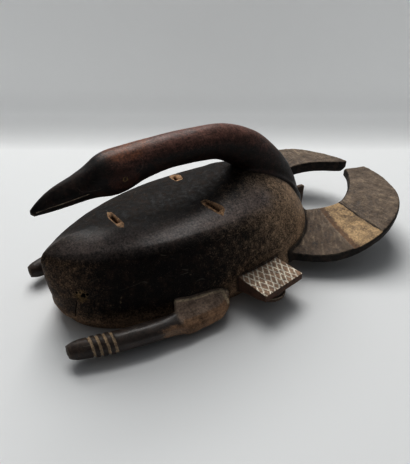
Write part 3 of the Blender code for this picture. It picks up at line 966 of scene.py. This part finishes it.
def through(stations, steps):
    """Stations on a smooth run through the given ones, with each gap cut into equal steps."""
    given = np.array((stations[0],) + tuple(stations) + (stations[-1],))
    result = []
    for before, start, end, after in zip(given, given[1:], given[2:], given[3:]):
        for t in np.arange(steps) / steps:
            result.append(0.5 * (2 * start + (end - before) * t
                                 + (2 * before - 5 * start + 4 * end - after) * t * t
                                 + (3 * start - before - 3 * end + after) * t ** 3))
    return np.array(result + [given[-1]])


def spread_evenly(stations, gap, run_of):
    """The same run with stations at even distances along it."""
    run = run_of(stations)
    walked = np.concatenate([[0.0], np.cumsum(np.linalg.norm(np.diff(run, axis=0), axis=1))])
    wanted = np.linspace(0.0, walked[-1], round(walked[-1] / gap) + 1)
    return np.stack([np.interp(wanted, walked, column) for column in stations.T], 1)


def bird_rows():
    stations = spread_evenly(through(BIRD, 24), BIRD_ROW_GAP, lambda s: s[:, :2])
    run = np.gradient(stations[:, :2], axis=0)
    run /= np.linalg.norm(run, axis=1, keepdims=True)
    angle = 2 * math.pi * np.arange(BIRD_AROUND) / BIRD_AROUND
    rows = []
    for (y, z, wide, high), (run_y, run_z) in zip(stations, run):
        beak = float(fade(-0.132, -0.150, y))
        across, up = np.cos(angle), np.sin(angle)
        keel = 1.0 - beak * 0.10 * np.abs(np.sin(2 * angle)) ** 2 * np.where(up > 0, 1.0, 0.35)
        across, up = across * keel * wide, up * keel * high
        rows.append(np.stack([across, y - up * run_z, z + up * run_y], 1))
    tip = rows[0].mean(0) + np.array([0.0, -0.0006, -0.0003])
    nose = [blend(tip, rows[0], s) + (1 - s) * np.array([0.0, -0.0006, -0.0002]) for s in (0.0, 0.35, 0.7)]
    root = rows[-1].mean(0)
    return np.array(nose + rows + [blend(root, rows[-1], 0.5), np.repeat(root[None], BIRD_AROUND, 0)])


BEAK_LINE = ((0.0030, -0.1785, 0.1052), (0.0055, -0.1700, 0.1077), (0.0080, -0.1580, 0.1096),
             (0.0102, -0.1410, 0.1126))
BIRD_EYE = (0.0164, -0.1133, 0.1196)
EYE_SCRATCHES = (((0.0150, -0.1185, 0.1215), (0.0158, -0.1150, 0.1170)),
                 ((0.0140, -0.1215, 0.1180), (0.0150, -0.1190, 0.1150)))
FOREHEAD = (0.002, -0.106, 0.141)
HEAD_STRETCH = (1.0, 0.7, 1.0)
BIRD_LUMPS = ((0.00035, (0.020, 0.030, 0.020), 31), (0.00018, (0.006, 0.016, 0.006), 32), (0.00005, 0.003, 33))


def near_side(points):
    """The points, those of the far side mirrored to the near one."""
    return np.stack([np.abs(points[:, 0]), points[:, 1], points[:, 2]], 1)


bird = skin("bird", bird_rows())
p = points_of(bird)
eye_gap = spot_distance(near_side(p), BIRD_EYE)
cut_in(bird, unevenness(p, BIRD_LUMPS) + 0.00055 * fade(0.0011, 0.0002, line_distance(near_side(p), BEAK_LINE))
       + 0.0009 * fade(0.0013, 0.0005, eye_gap)
       + 0.00035 * fade(0.0030, 0.0022, eye_gap) * fade(0.0014, 0.0022, eye_gap))
grow_from_shell(bird)

bird_wood = wood_material("rubbed_bird_wood", paint(20, 13, 12), (
    # The red brown layer is worn wood with painted top light on upward faces.
    ("beak_dark", paint(9, 6, 6), 0.4, 0.9), ("rubbed", paint(118, 82, 72), 0.40, 0.95),
    ("forehead", paint(122, 77, 54), 0.9, 0.85), ("cheek", paint(62, 34, 26), 0.8, 0.8),
    ("beak_line", paint(136, 122, 106), 0.5, 0.9), ("eye_ring", paint(104, 84, 52), 0.4, 0.85),
    ("eye_scratch", paint(120, 84, 62), 0.5, 0.8)),
    bump=0.00030, specular=0.15, coat=("sheen", 0.30, 0.34), patch_tone=paint(54, 31, 24), patches=0.45, mottle=0.5,
    grain=0.7, speckle=0.60, rough_low=0.42, rough_high=0.62, specks=0.20, dust=0.06, scratches=0.10)

p, n = points_of(bird), normals_of(bird)
# Red brown on upward faces: worn wood plus painted top light, lighter the more a face points up.
rubbed = fade(-0.12, 0.85, n[:, 2]) * fade(-0.132, -0.105, p[:, 1]) * fade(0.070, 0.005, p[:, 1])
beak_dark = fade(-0.128, -0.140, p[:, 1]) * fade(0.75, 0.25, n[:, 2])
eye_gap = spot_distance(near_side(p), BIRD_EYE)
scratch_gap = np.minimum.reduce([line_distance(near_side(p), line) for line in EYE_SCRATCHES])
attach(bird, rubbed=soft(rubbed), beak_dark=beak_dark, sheen=fade(-0.2, 0.5, n[:, 2]) * (1.0 - 0.8 * beak_dark),
       cheek=fade(0.013, 0.004, spot_distance(p, BIRD_EYE, HEAD_STRETCH)),
       forehead=fade(0.021, 0.006, spot_distance(p, FOREHEAD, HEAD_STRETCH)),
       beak_line=fade(0.0010, 0.0002, line_distance(near_side(p), BEAK_LINE)),
       eye_ring=fade(0.0027, 0.0019, eye_gap) * fade(0.0009, 0.0015, eye_gap),
       eye_scratch=fade(0.0007, 0.0002, scratch_gap))
bird.data.materials.append(bird_wood)
hand_over(bird)


# Horns
# Two flat curved horns, cut from the same block. Their tops carry short knife strokes across the
# grain. The near one is broad with a blunt end and a band scraped bare and rubbed with ochre.

HORN_OUTER = {"y": 0.107, "x": 0.1005, "to_tip": 0.084, "to_root": 0.103}
HORNS = (
    {"name": "horn_near", "side": 1, "y": 0.118, "x": 0.0380, "to_tip": 0.046, "to_root": 0.046,
     "tip": 86.0, "round": 0.0, "top": (0.0225, 0.0500), "thick": 0.0090},
    {"name": "horn_far", "side": -1, "y": 0.118, "x": 0.0480, "to_tip": 0.066, "to_root": 0.053,
     "tip": 75.0, "round": 0.30, "top": (0.0260, 0.0490), "thick": 0.0125},
)
HORN_ROOT = -56.0
HORN_ROUNDING = 0.0024
HORN_THINS_BELOW = 0.0090
HORN_RISE = (0.045, 0.165)
HORN_ROW_GAP = 0.0011
HORN_LUMPS = ((0.00040, 0.028, 42), (0.00014, 0.008, 43))
KNIFE_CUT, KNIFE_SIZE = 0.00050, (0.0042, 0.0150, 1.0)
BAND_DEPTH = 0.00055
BAND_LUMPS = ((0.00028, 0.0032, 44), (0.00018, 0.0012, 45))


def horn_top(shape, y):
    return blend(*shape["top"], fade(*HORN_RISE, y))


def horn_edge(shape, angle, along, across):
    sine, cosine = np.sin(angle), np.cos(angle)
    reach = np.where(sine > 0, shape["to_tip"], -shape["to_root"])
    return np.stack([shape["x"] * np.abs(cosine) ** across, shape["y"] + reach * np.abs(sine) ** along], -1)


def plate_section(half, thick, rounding):
    """The rounded section of a plate as (across, drop) pairs, from the outer top round to the inner top."""
    corner = np.radians(np.linspace(90, 0, 6))
    turn = np.stack([half - rounding + rounding * np.cos(corner), rounding - rounding * np.sin(corner)], 1)
    side = [(half, d) for d in np.linspace(rounding, thick - rounding, 8)[1:-1]]
    below = turn[::-1] * [1, -1] + [0, thick]
    flat = np.linspace(half - rounding, -half + rounding, 27)[1:-1]
    outer = np.concatenate([turn, side, below])
    under = np.stack([flat, np.full(25, thick)], 1)
    inner = outer[::-1] * [-1, 1]
    over = np.stack([-flat, np.zeros(25)], 1)
    return np.concatenate([outer, under, inner, over])


def horn_rows(shape):
    """The rows of a horn, with each point's place along and across it for the knife strokes."""
    dense = np.linspace(0.0, 1.0, 900)
    angle = np.radians(blend(HORN_ROOT, shape["tip"], dense))
    outer, inner = horn_edge(HORN_OUTER, angle, 1.0, 1.0), horn_edge(shape, angle, 1.25, 1.67)
    middle, half = (outer + inner) / 2, (outer - inner) / 2
    if shape["round"]:
        past = np.clip((dense - 1.0 + shape["round"]) / shape["round"], 0.0, 1.0)
        half = half * np.sqrt(1.0 - past ** 2 * 0.985)[:, None]
    table = np.concatenate([middle, half], 1)
    table = spread_evenly(table, HORN_ROW_GAP, lambda t: t[:, :2] + t[:, 2:])
    rows, strokes = [], []
    for i, (mx, my, hx, hy) in enumerate(table):
        length = math.hypot(hx, hy)
        thick = shape["thick"] * min(1.0, 0.45 + 0.55 * length / HORN_THINS_BELOW)
        for_end = min(1.0, (len(table) - 1 - i + 0.2) / 2.4) if not shape["round"] else 1.0
        section = plate_section(length, thick, min(HORN_ROUNDING, length * 0.6))
        if for_end < 1.0:
            shrink = HORN_ROUNDING * (1 - math.sqrt(1 - (1 - for_end) ** 2))
            section = np.stack([section[:, 0] * (1 - shrink / length),
                                thick / 2 + (section[:, 1] - thick / 2) * (1 - 2 * shrink / thick)], 1)
        x, y = mx + section[:, 0] * hx / length, my + section[:, 0] * hy / length
        rows.append(np.stack([x * shape["side"], y, horn_top(shape, y) - section[:, 1]], 1))
        strokes.append(np.stack([np.full(len(section), i * HORN_ROW_GAP), section[:, 0],
                                 np.zeros(len(section))], 1))
    end = rows[-1].mean(0)
    for scale in (0.75, 0.5, 0.25, 0.0):
        rows.append(blend(end, rows[len(table) - 1], scale))
        strokes.append(strokes[len(table) - 1])
    start = rows[0].mean(0)
    rows = [np.repeat(start[None], len(rows[0]), 0), blend(start, rows[0], 0.5)] + rows
    strokes = strokes[:1] * 2 + strokes
    return np.array(rows), np.array(strokes)


BAND_HEAD_EDGE = ((0.0250, 0.0990), (0.0313, 0.0955), (0.0611, 0.0857), (0.0908, 0.0784), (0.1050, 0.0770))
BAND_TIP_EDGE = ((0.0250, 0.1160), (0.0427, 0.1147), (0.0697, 0.1111), (0.0978, 0.1101), (0.1050, 0.1101))


def in_band(points):
    """How far inside the scraped band each point lies in plan, negative outside it."""
    x, y = points[:, 0], points[:, 1]
    head = np.interp(x, *zip(*BAND_HEAD_EDGE))
    tip = np.interp(x, *zip(*BAND_TIP_EDGE))
    return np.minimum(y - head, tip - y), y - head


horns = []
for shape in HORNS:
    rows, strokes = horn_rows(shape)
    horn = skin(shape["name"], rows, clean=False)
    p, s = points_of(horn), strokes.reshape(-1, 3)
    if (normals_of(horn)[:, 2] * (p[:, 2] - horn_top(shape, p[:, 1]) + shape["thick"] / 2)).sum() < 0:
        horn.data.flip_normals()
    on_top = fade(0.6, 0.9, normals_of(horn)[:, 2])
    knife = gouged(s + 0.002 * lumps(s, 0.02, 40)[:, None], KNIFE_SIZE, 41)
    band = in_band(p)[0] if shape["side"] > 0 else np.full(len(p), -1.0)
    banded = fade(-0.0004, 0.0004, band)
    cut_in(horn, unevenness(p, HORN_LUMPS) - on_top * (1 - banded) * KNIFE_CUT * knife
           + on_top * banded * (BAND_DEPTH + unevenness(p, BAND_LUMPS)) + unevenness(p, ((0.00006, 0.0025, 46),)))
    attach(horn, strokes=0.2 + 0.5 * knife * on_top * (1 - banded))
    close_up(horn.data)
    grow_from_shell(horn)
    horns.append(horn)

horn_wood = wood_material("knifed_horn_wood", paint(110, 95, 82), (
    ("head_side", paint(78, 62, 51), 0.9, 0.8), ("strokes", paint(150, 133, 113), 0.3, 0.8),
    ("band", paint(180, 152, 115), 0.45, 1.0),
    ("band_stain", paint(92, 62, 42), 0.9, 0.9), ("rim", paint(14, 11, 10), 0.45, 0.95)),
    bump=0.0007, specular=0.3, patch_tone=paint(66, 52, 43), patches=0.6, mottle=0.6, grain=0.25, speckle=0.45,
    rough_low=0.5, rough_high=0.8, dust=0.22, specks=0.25, scratches=0.10, worn_tone=paint(150, 132, 110))

for horn, shape in zip(horns, HORNS):
    p, n = points_of(horn), normals_of(horn)
    inside_band, from_head = in_band(p)
    near_horn = shape["side"] > 0
    band = fade(-0.0010, 0.0010, inside_band) * fade(0.35, 0.8, n[:, 2]) * near_horn
    attach(horn, band=band, band_stain=band * (0.22 + 0.75 * fade(0.008, 0.002, from_head)),
           head_side=fade(0.0, -0.004, from_head) * near_horn, rim=1.0 - fade(0.70, 0.97, n[:, 2]))
    horn.data.materials.append(horn_wood)
    hand_over(horn)


# Legs
# A ringed stem on each side of the chin, which widens into a flat paddle beside the face. The
# rings are cut down to bare wood. The paddle's outer side is rough and fibrous.

LEG = (
    (-0.1908, 0.0560, 0.0136, 0.0045, 0.0048, 2.0, 0.0), (-0.1875, 0.0569, 0.0134, 0.0062, 0.0064, 2.0, 0.0),
    (-0.1790, 0.0586, 0.0132, 0.0081, 0.0081, 2.0, 0.0), (-0.1520, 0.0667, 0.0130, 0.0089, 0.0082, 2.0, 0.0),
    (-0.1300, 0.0713, 0.0135, 0.0092, 0.0080, 2.0, 0.0), (-0.1150, 0.0742, 0.0137, 0.0080, 0.0070, 2.2, -0.2),
    (-0.1045, 0.0766, 0.0145, 0.0080, 0.0066, 2.6, -0.4), (-0.1020, 0.0738, 0.0170, 0.0118, 0.0046, 3.5, -0.65),
    (-0.0900, 0.0746, 0.0163, 0.0114, 0.0043, 4.0, -0.63), (-0.0710, 0.0759, 0.0168, 0.0106, 0.0040, 4.0, -0.56),
    (-0.0640, 0.0746, 0.0173, 0.0096, 0.0040, 4.0, -0.50), (-0.0575, 0.0723, 0.0173, 0.0074, 0.0038, 4.0, -0.45),
    (-0.0535, 0.0690, 0.0173, 0.0035, 0.0036, 4.0, -0.45),
)
LEG_AROUND = 72
LEG_ROW_GAP = 0.0007
RING_FIRST_Y = -0.1735
RING_STEP = 0.0053
RING_COUNT = 4
RING_DEPTH = 0.0012
RING_HALF = 0.0012
RING_BEAD = 0.0004
LEG_TIP_BACK = 0.0016
LEG_LUMPS = ((0.00035, 0.020, 51), (0.00012, (0.005, 0.012, 0.005), 52))
TORN_LUMPS = ((0.00045, (0.002, 0.009, 0.002), 53), (0.0002, 0.0016, 54))


def leg_rows(side):
    stations = spread_evenly(through(LEG, 2), LEG_ROW_GAP, lambda s: s[:, :1])
    for _ in range(3):
        stations[1:-1] = 0.5 * stations[1:-1] + 0.25 * (stations[:-2] + stations[2:])
    angle = 2 * math.pi * (np.arange(LEG_AROUND) + 0.5) / LEG_AROUND
    rows = []
    for y, x, z, wide, high, square, slope in stations:
        across = signed_power(np.cos(angle), 2 / square) * wide
        up = signed_power(np.sin(angle), 2 / square) * high
        rows.append(np.stack([(x + across) * side, np.full(LEG_AROUND, y), z + up + slope * across], 1))
    rounding = ((0.93, 0.0004), (0.8, 0.0009), (0.6, 0.0013), (0.35, 0.0015), (0.0, 0.0016))
    tip = [blend(rows[0].mean(0), rows[0], s) - [0.0, d, 0.0] for s, d in rounding[::-1]]
    end = [blend(rows[-1].mean(0), rows[-1], s) + [0.0, d, 0.0] for s, d in rounding]
    tip = [row + [0.0, LEG_TIP_BACK, 0.0] for row in tip]
    rows[0] = rows[0] + [0.0, LEG_TIP_BACK * 0.9, 0.0]
    return np.array(tip + rows + end)


def carving_tree(name, sizes):
    """An empty Geometry Nodes tree with named inputs: a mesh, its sizes and its material."""
    tree = bpy.data.node_groups.new(name, "GeometryNodeTree")
    tree.interface.new_socket("Geometry", in_out="INPUT", socket_type="NodeSocketGeometry")
    for label, value in sizes.items():
        kind = "NodeSocketInt" if isinstance(value, int) else "NodeSocketFloat"
        tree.interface.new_socket(label, in_out="INPUT", socket_type=kind).default_value = value
    tree.interface.new_socket("Material", in_out="INPUT", socket_type="NodeSocketMaterial")
    tree.interface.new_socket("Geometry", in_out="OUTPUT", socket_type="NodeSocketGeometry")
    return tree, tree.nodes.new("NodeGroupInput").outputs


def finish_carving(tree, start, geometry):
    """Ends a tree in Realize Instances and Set Material."""
    real, coat, out = (tree.nodes.new(kind) for kind in (
        "GeometryNodeRealizeInstances", "GeometryNodeSetMaterial", "NodeGroupOutput"))
    tree.links.new(geometry, real.inputs[0])
    tree.links.new(real.outputs[0], coat.inputs["Geometry"])
    tree.links.new(start["Material"], coat.inputs["Material"])
    tree.links.new(coat.outputs[0], out.inputs[0])


def keep_value(tree, geometry, name, value):
    """Stores a value for each point under this name, for the material."""
    node = tree.nodes.new("GeometryNodeStoreNamedAttribute")
    node.data_type, node.domain = "FLOAT", "POINT"
    node.inputs["Name"].default_value = name
    tree.links.new(geometry, node.inputs["Geometry"])
    tree.links.new(value, node.inputs["Value"])
    return node.outputs["Geometry"]


def stored(piece, name):
    """The values that a tree has kept under this name."""
    return numbers_of(piece.data.attributes[name].data, "value")


def carve_by_tree(piece, tree, sizes, material):
    """Runs a tree on a piece with these sizes and keeps the plain mesh that comes out."""
    step = piece.modifiers.new(tree.name, "NODES")
    step.node_group = tree
    given = dict(sizes, Material=material)
    for item in tree.interface.items_tree:
        if item.in_out == "INPUT" and item.name in given:
            step[item.identifier] = given[item.name]
    keep_result(piece)


RINGS = {"First": RING_FIRST_Y, "Step": RING_STEP, "Count": RING_COUNT, "Depth": RING_DEPTH,
         "Half Width": RING_HALF, "Bead": RING_BEAD}


def ring_tree():
    """Ring grooves square to the stem, with a slight bead between each two."""
    tree, start = carving_tree("ring_grooves", RINGS)
    place, turn, move = (tree.nodes.new(kind) for kind in (
        "GeometryNodeInputPosition", "GeometryNodeInputNormal", "GeometryNodeSetPosition"))
    along = add_math(tree, "DIVIDE", less(tree, part_of(tree, place.outputs[0], "Y"), start["First"]), start["Step"])
    last = less(tree, start["Count"], 1.0)
    ring = add_math(tree, "MINIMUM", add_math(tree, "MAXIMUM", add_math(tree, "ROUND", along), 0.0), last)
    gap = times(tree, add_math(tree, "ABSOLUTE", less(tree, along, ring)), start["Step"])
    cut = less(tree, 1.0, add_fade(tree, gap, 0.0, start["Half Width"]))
    inside = times(tree, add_math(tree, "GREATER_THAN", along, 0.0), add_math(tree, "LESS_THAN", along, last))
    swell = times(tree, inside, start["Bead"], less(tree, 1.0, cut))
    push = add_vector(tree, "SCALE", turn.outputs[0], less(tree, swell, times(tree, cut, start["Depth"])))
    tree.links.new(keep_value(tree, start["Geometry"], "ring_gap", gap), move.inputs["Geometry"])
    tree.links.new(push, move.inputs["Offset"])
    finish_carving(tree, start, move.outputs[0])
    return tree


def paddle_part(points):
    return fade(-0.112, -0.100, points[:, 1])


def past_middle(points):
    """How far outwards of the leg's middle line each point is."""
    line_y, line_x = np.array(LEG).T[:2]
    return np.abs(points[:, 0]) - np.interp(points[:, 1], line_y, line_x)


legs = []
for side, name in ((1, "leg_near"), (-1, "leg_far")):
    leg = skin(name, leg_rows(side))
    p = points_of(leg)
    torn = paddle_part(p) * fade(0.004, 0.010, past_middle(p))
    cut_in(leg, unevenness(p, LEG_LUMPS) + torn * unevenness(p, TORN_LUMPS)
           + paddle_part(p) * unevenness(p, ((0.00010, 0.003, 55),)))
    grow_from_shell(leg, 0.0006)
    legs.append(leg)

tree_rings = ring_tree()
leg_wood = wood_material("leg_wood", paint(50, 39, 34), (
    ("paddle", paint(150, 130, 114), 0.4, 0.95), ("torn", paint(146, 114, 86), 1.0, 0.9),
    ("paddle_edge", paint(196, 178, 150), 0.6, 0.8), ("ring", paint(190, 166, 136), 1.0, 0.95)),
    bump=0.0004, specular=0.3, coat=("sheen", 0.75, 0.32), patch_tone=paint(70, 50, 40), patches=0.4, mottle=0.5,
    grain=0.6, speckle=0.40, rough_low=0.38, rough_high=0.62, dust=0.10, specks=0.25, wear=0.8,
    worn_tone=paint(158, 140, 116))

for leg in legs:
    carve_by_tree(leg, tree_rings, RINGS, leg_wood)
    p = points_of(leg)
    paddle = paddle_part(p)
    from_wall = skin_gap(p, outer_tree)[0]
    inner_edge = fade(0.0034, 0.0024, from_wall) * fade(0.0006, 0.0014, from_wall)
    round_end = fade(-0.0620, -0.0605, p[:, 1]) * fade(-0.0570, -0.0585, p[:, 1])
    up_side = fade(0.15, 0.5, normals_of(leg)[:, 2])
    attach(leg, paddle=paddle, ring=fade(0.0015, 0.0005, stored(leg, "ring_gap")),
           paddle_edge=np.maximum(inner_edge, round_end) * up_side * fade(-0.106, -0.102, p[:, 1]),
           sheen=(1.0 - paddle) * (0.3 + 0.7 * fade(-0.165, -0.148, p[:, 1])),
           torn=fade(-0.130, -0.112, p[:, 1]) * fade(0.0030, 0.0072, past_middle(p)))
    hand_over(leg)


# Temple blocks
# A thick flat block beside each temple, its top cut with two sets of crossing lines that are
# filled with white earth. It stands on a half-round ledge cut from the same wood.

BLOCK_CENTRE = (0.0820, -0.0158)
BLOCK_SIZE = (0.0340, 0.0475)
BLOCK_TURN = 7.5
BLOCK_THICK = 0.0110
BLOCK_TOP_Z = 0.0280
BLOCK_UNDER_Z = (0.0125, 0.0210)
LEDGE_CENTRE = (0.0750, -0.0190)
LEDGE_AROUND = 120
LEDGE_ROW_GAP = 0.0010
LEDGES = ((0.0250, 0.0185, 0.0125, 0.0170), (0.0230, 0.0170, 0.0160, 0.0205))
BLOCK_GRID = 0.00050
BLOCK_ROUNDING = 0.0012


def rounded_box(size, rounding, gap):
    """Points and faces of a box with rounded edges, in one even grid."""
    half = np.array(size) / 2
    points, faces = [], []
    for axis, sign in itertools.product(range(3), (-1, 1)):
        a, b = (axis + 1) % 3, (axis + 2) % 3
        steps = [max(4, round(size[k] / gap)) for k in (a, b)]
        grid = np.stack(np.meshgrid(np.linspace(-half[a], half[a], steps[0] + 1),
                                    np.linspace(-half[b], half[b], steps[1] + 1), indexing="ij"), -1)
        patch = np.empty(grid.shape[:2] + (3,))
        patch[..., a], patch[..., b], patch[..., axis] = grid[..., 0], grid[..., 1], sign * half[axis]
        core = np.clip(patch, -(half - rounding), half - rounding)
        out = patch - core
        patch = core + rounding * out / np.linalg.norm(out, axis=-1, keepdims=True)
        first = sum(len(block) for block in points)
        index = first + np.arange(grid.shape[0] * grid.shape[1]).reshape(grid.shape[:2])
        points.append(patch.reshape(-1, 3))
        corners = [index[:-1, :-1], index[1:, :-1], index[1:, 1:], index[:-1, 1:]]
        faces += np.stack(corners, -1).reshape(-1, 4).tolist()
    return np.concatenate(points), faces


def block_points(side):
    points, faces = rounded_box((*BLOCK_SIZE, BLOCK_THICK), BLOCK_ROUNDING, BLOCK_GRID)
    under = blend(*BLOCK_UNDER_Z, points[:, 0] / BLOCK_SIZE[0] + 0.5)
    height = blend(under, BLOCK_TOP_Z, points[:, 2] / BLOCK_THICK + 0.5)
    turn = math.radians(BLOCK_TURN)
    x = BLOCK_CENTRE[0] + points[:, 0] * math.cos(turn) - points[:, 1] * math.sin(turn)
    y = BLOCK_CENTRE[1] + points[:, 0] * math.sin(turn) + points[:, 1] * math.cos(turn)
    return np.stack([x * side, y, height], 1), faces


def ledge_rows(side, wide, long, low, high):
    angle = 2 * math.pi * np.arange(LEDGE_AROUND) / LEDGE_AROUND
    outline = np.stack([np.cos(angle) * wide, np.sin(angle) * long, np.zeros(LEDGE_AROUND)], 1)
    middle = np.array([*LEDGE_CENTRE, 0.0])
    rows = [middle + outline * scale + [0.0, 0.0, z] for scale, z in (
        (0.0, low), (0.5, low), (0.9, low), (0.965, low + 0.0003), (0.99, low + 0.0010), (1.0, low + 0.0018),
        (1.0, high - 0.0014), (0.99, high - 0.0006), (0.965, high), (0.9, high), (0.5, high), (0.0, high))]
    return smooth_rows(rows, LEDGE_ROW_GAP) * [side, 1.0, 1.0]


HATCH = {"First Angle": -28.0, "First Spacing": 0.0047, "Second Angle": 26.0, "Second Spacing": 0.0064,
         "Cut Width": 0.0007, "Cut Depth": 0.0006, "Waver": 0.0007, "Uneven": 0.30}


def hatch_tree():
    """Two sets of crossing cuts in the top, which waver as a hand does."""
    tree, start = carving_tree("hatched_top", HATCH)
    place, turn, shake, move, lower = (tree.nodes.new(kind) for kind in (
        "GeometryNodeInputPosition", "GeometryNodeInputNormal", "ShaderNodeTexNoise", "GeometryNodeSetPosition",
        "ShaderNodeCombineXYZ"))
    shake.inputs["Scale"].default_value = 110.0
    shake.inputs["Detail"].default_value = 2.0
    tree.links.new(place.outputs[0], shake.inputs["Vector"])
    centred = add_vector(tree, "SUBTRACT", shake.outputs["Color"], (0.5, 0.5, 0.5))
    moved = add_vector(tree, "SCALE", centred, times(tree, start["Waver"], 4.0))
    spot = add_vector(tree, "ADD", place.outputs[0], moved)
    out = add_math(tree, "ABSOLUTE", part_of(tree, spot, "X"))
    gaps = []
    for which, seed in (("First", 0.5), ("Second", 77.5)):
        angle, spacing = add_math(tree, "RADIANS", start[which + " Angle"]), start[which + " Spacing"]
        across = less(tree, times(tree, part_of(tree, spot, "Y"), add_math(tree, "COSINE", angle)),
                      times(tree, out, add_math(tree, "SINE", angle)))
        count = add_math(tree, "DIVIDE", across, spacing)
        line = add_math(tree, "ROUND", count)
        chance = tree.nodes.new("ShaderNodeTexWhiteNoise")
        chance.noise_dimensions = "1D"
        tree.links.new(plus(tree, line, seed), chance.inputs["W"])
        slip = times(tree, less(tree, chance.outputs["Value"], 0.5), start["Uneven"])
        gaps.append(times(tree, add_math(tree, "ABSOLUTE", less(tree, count, plus(tree, line, slip))), spacing))
    gap = add_math(tree, "MINIMUM", *gaps)
    on_top = add_fade(tree, part_of(tree, turn.outputs[0], "Z"), 0.75, 0.92)
    cut = times(tree, less(tree, 1.0, add_fade(tree, gap, 0.0, start["Cut Width"])), on_top)
    tree.links.new(times(tree, cut, start["Cut Depth"], -1.0), lower.inputs["Z"])
    kept = keep_value(tree, start["Geometry"], "hatch_gap", gap)
    tree.links.new(keep_value(tree, kept, "on_top", on_top), move.inputs["Geometry"])
    tree.links.new(lower.outputs[0], move.inputs["Offset"])
    finish_carving(tree, start, move.outputs[0])
    return tree


blocks, ledges = [], []
for side, word in ((1, "near"), (-1, "far")):
    block = piece_from("block_" + word, *block_points(side))
    cut_in(block, unevenness(points_of(block), ((0.00030, 0.014, 61), (0.00012, 0.004, 62))))
    grow_from_shell(block, 0.0015)
    blocks.append(block)
    for i, sizes in enumerate(LEDGES):
        ledge = skin(f"ledge_{word}_{i + 1}", ledge_rows(side, *sizes))
        cut_in(ledge, unevenness(points_of(ledge), ((0.00030, 0.010, 63 + i), (0.00015, 0.003, 66))))
        grow_from_shell(ledge, 0.0010)
        ledges.append(ledge)

tree_hatch = hatch_tree()
block_wood = wood_material("hatched_block_wood", paint(92, 66, 52), (
    ("top", paint(164, 138, 116), 0.8, 0.9), ("hatch", paint(238, 230, 214), 0.6, 1.0)),
    bump=0.0005, specular=0.3, patch_tone=paint(62, 38, 29), patches=0.4, mottle=0.6, rough_low=0.55, rough_high=0.85,
    dust=0.15, specks=0.3, wear=0.5, worn_tone=paint(150, 136, 116))
ledge_wood = wood_material("ledge_wood", paint(88, 71, 58), (("ledge_edge", paint(190, 174, 150), 0.7, 0.8),),
                           bump=0.0005, specular=0.3, patch_tone=paint(90, 68, 50), rough_low=0.5, rough_high=0.8,
                           wear=0.95, worn_tone=paint(150, 132, 108))

for block in blocks:
    carve_by_tree(block, tree_hatch, HATCH, block_wood)
    on_top = stored(block, "on_top")
    attach(block, top=on_top, hatch=fade(0.0010, 0.0003, stored(block, "hatch_gap")) * on_top)
    hand_over(block)
for ledge in ledges:
    attach(ledge, ledge_edge=np.exp(-((normals_of(ledge)[:, 2] - 0.60) / 0.25) ** 2))
    ledge.data.materials.append(ledge_wood)
    hand_over(ledge)


# Fin
# A thin upright fin at the back of the head, between the horns. It is left standing from the same
# block of wood, with its edges rubbed round.

FIN_WIDTH = 0.0050
FIN_Y = (0.0790, 0.0985)
FIN_Z = (0.0250, 0.0480)
FIN_ROUNDING = 0.0012
FIN_GRID = 0.0009

points, faces = rounded_box((FIN_WIDTH, FIN_Y[1] - FIN_Y[0], FIN_Z[1] - FIN_Z[0]), FIN_ROUNDING, FIN_GRID)
fin = piece_from("fin", points + [0.0, sum(FIN_Y) / 2, sum(FIN_Z) / 2], faces)
cut_in(fin, unevenness(points_of(fin), ((0.00025, 0.006, 71),)))
grow_from_shell(fin, 0.0020)
fin.data.materials.append(ledge_wood)
hand_over(fin)


# Darker near the joins
# Each piece gets a mask of how near its neighbours are, and its colour darkens towards where the
# carved parts meet.

JOIN_REACH = 0.012
JOIN_FALL = 0.0022
FAR_OFF = 9.0

carved = {"shell": [shell], "bird": [bird], "horns": horns, "legs": legs, "blocks": blocks + ledges, "fin": [fin]}
trees = {word: [tree_of(piece) for piece in group] for word, group in carved.items()}


def crease_of(points, word):
    """1 where the surface meets another part, falling to 0 a few millimetres away."""
    near = np.full(len(points), FAR_OFF)
    for tree in (tree for other, group in trees.items() if other != word for tree in group):
        found = np.array([tree.find_nearest(q, JOIN_REACH)[3] or FAR_OFF for q in points.tolist()])
        near = np.minimum(near, found)
    return np.exp(-near / JOIN_FALL)


for word, group in carved.items():
    for piece in group:
        attach(piece, crease=crease_of(points_of(piece), word))
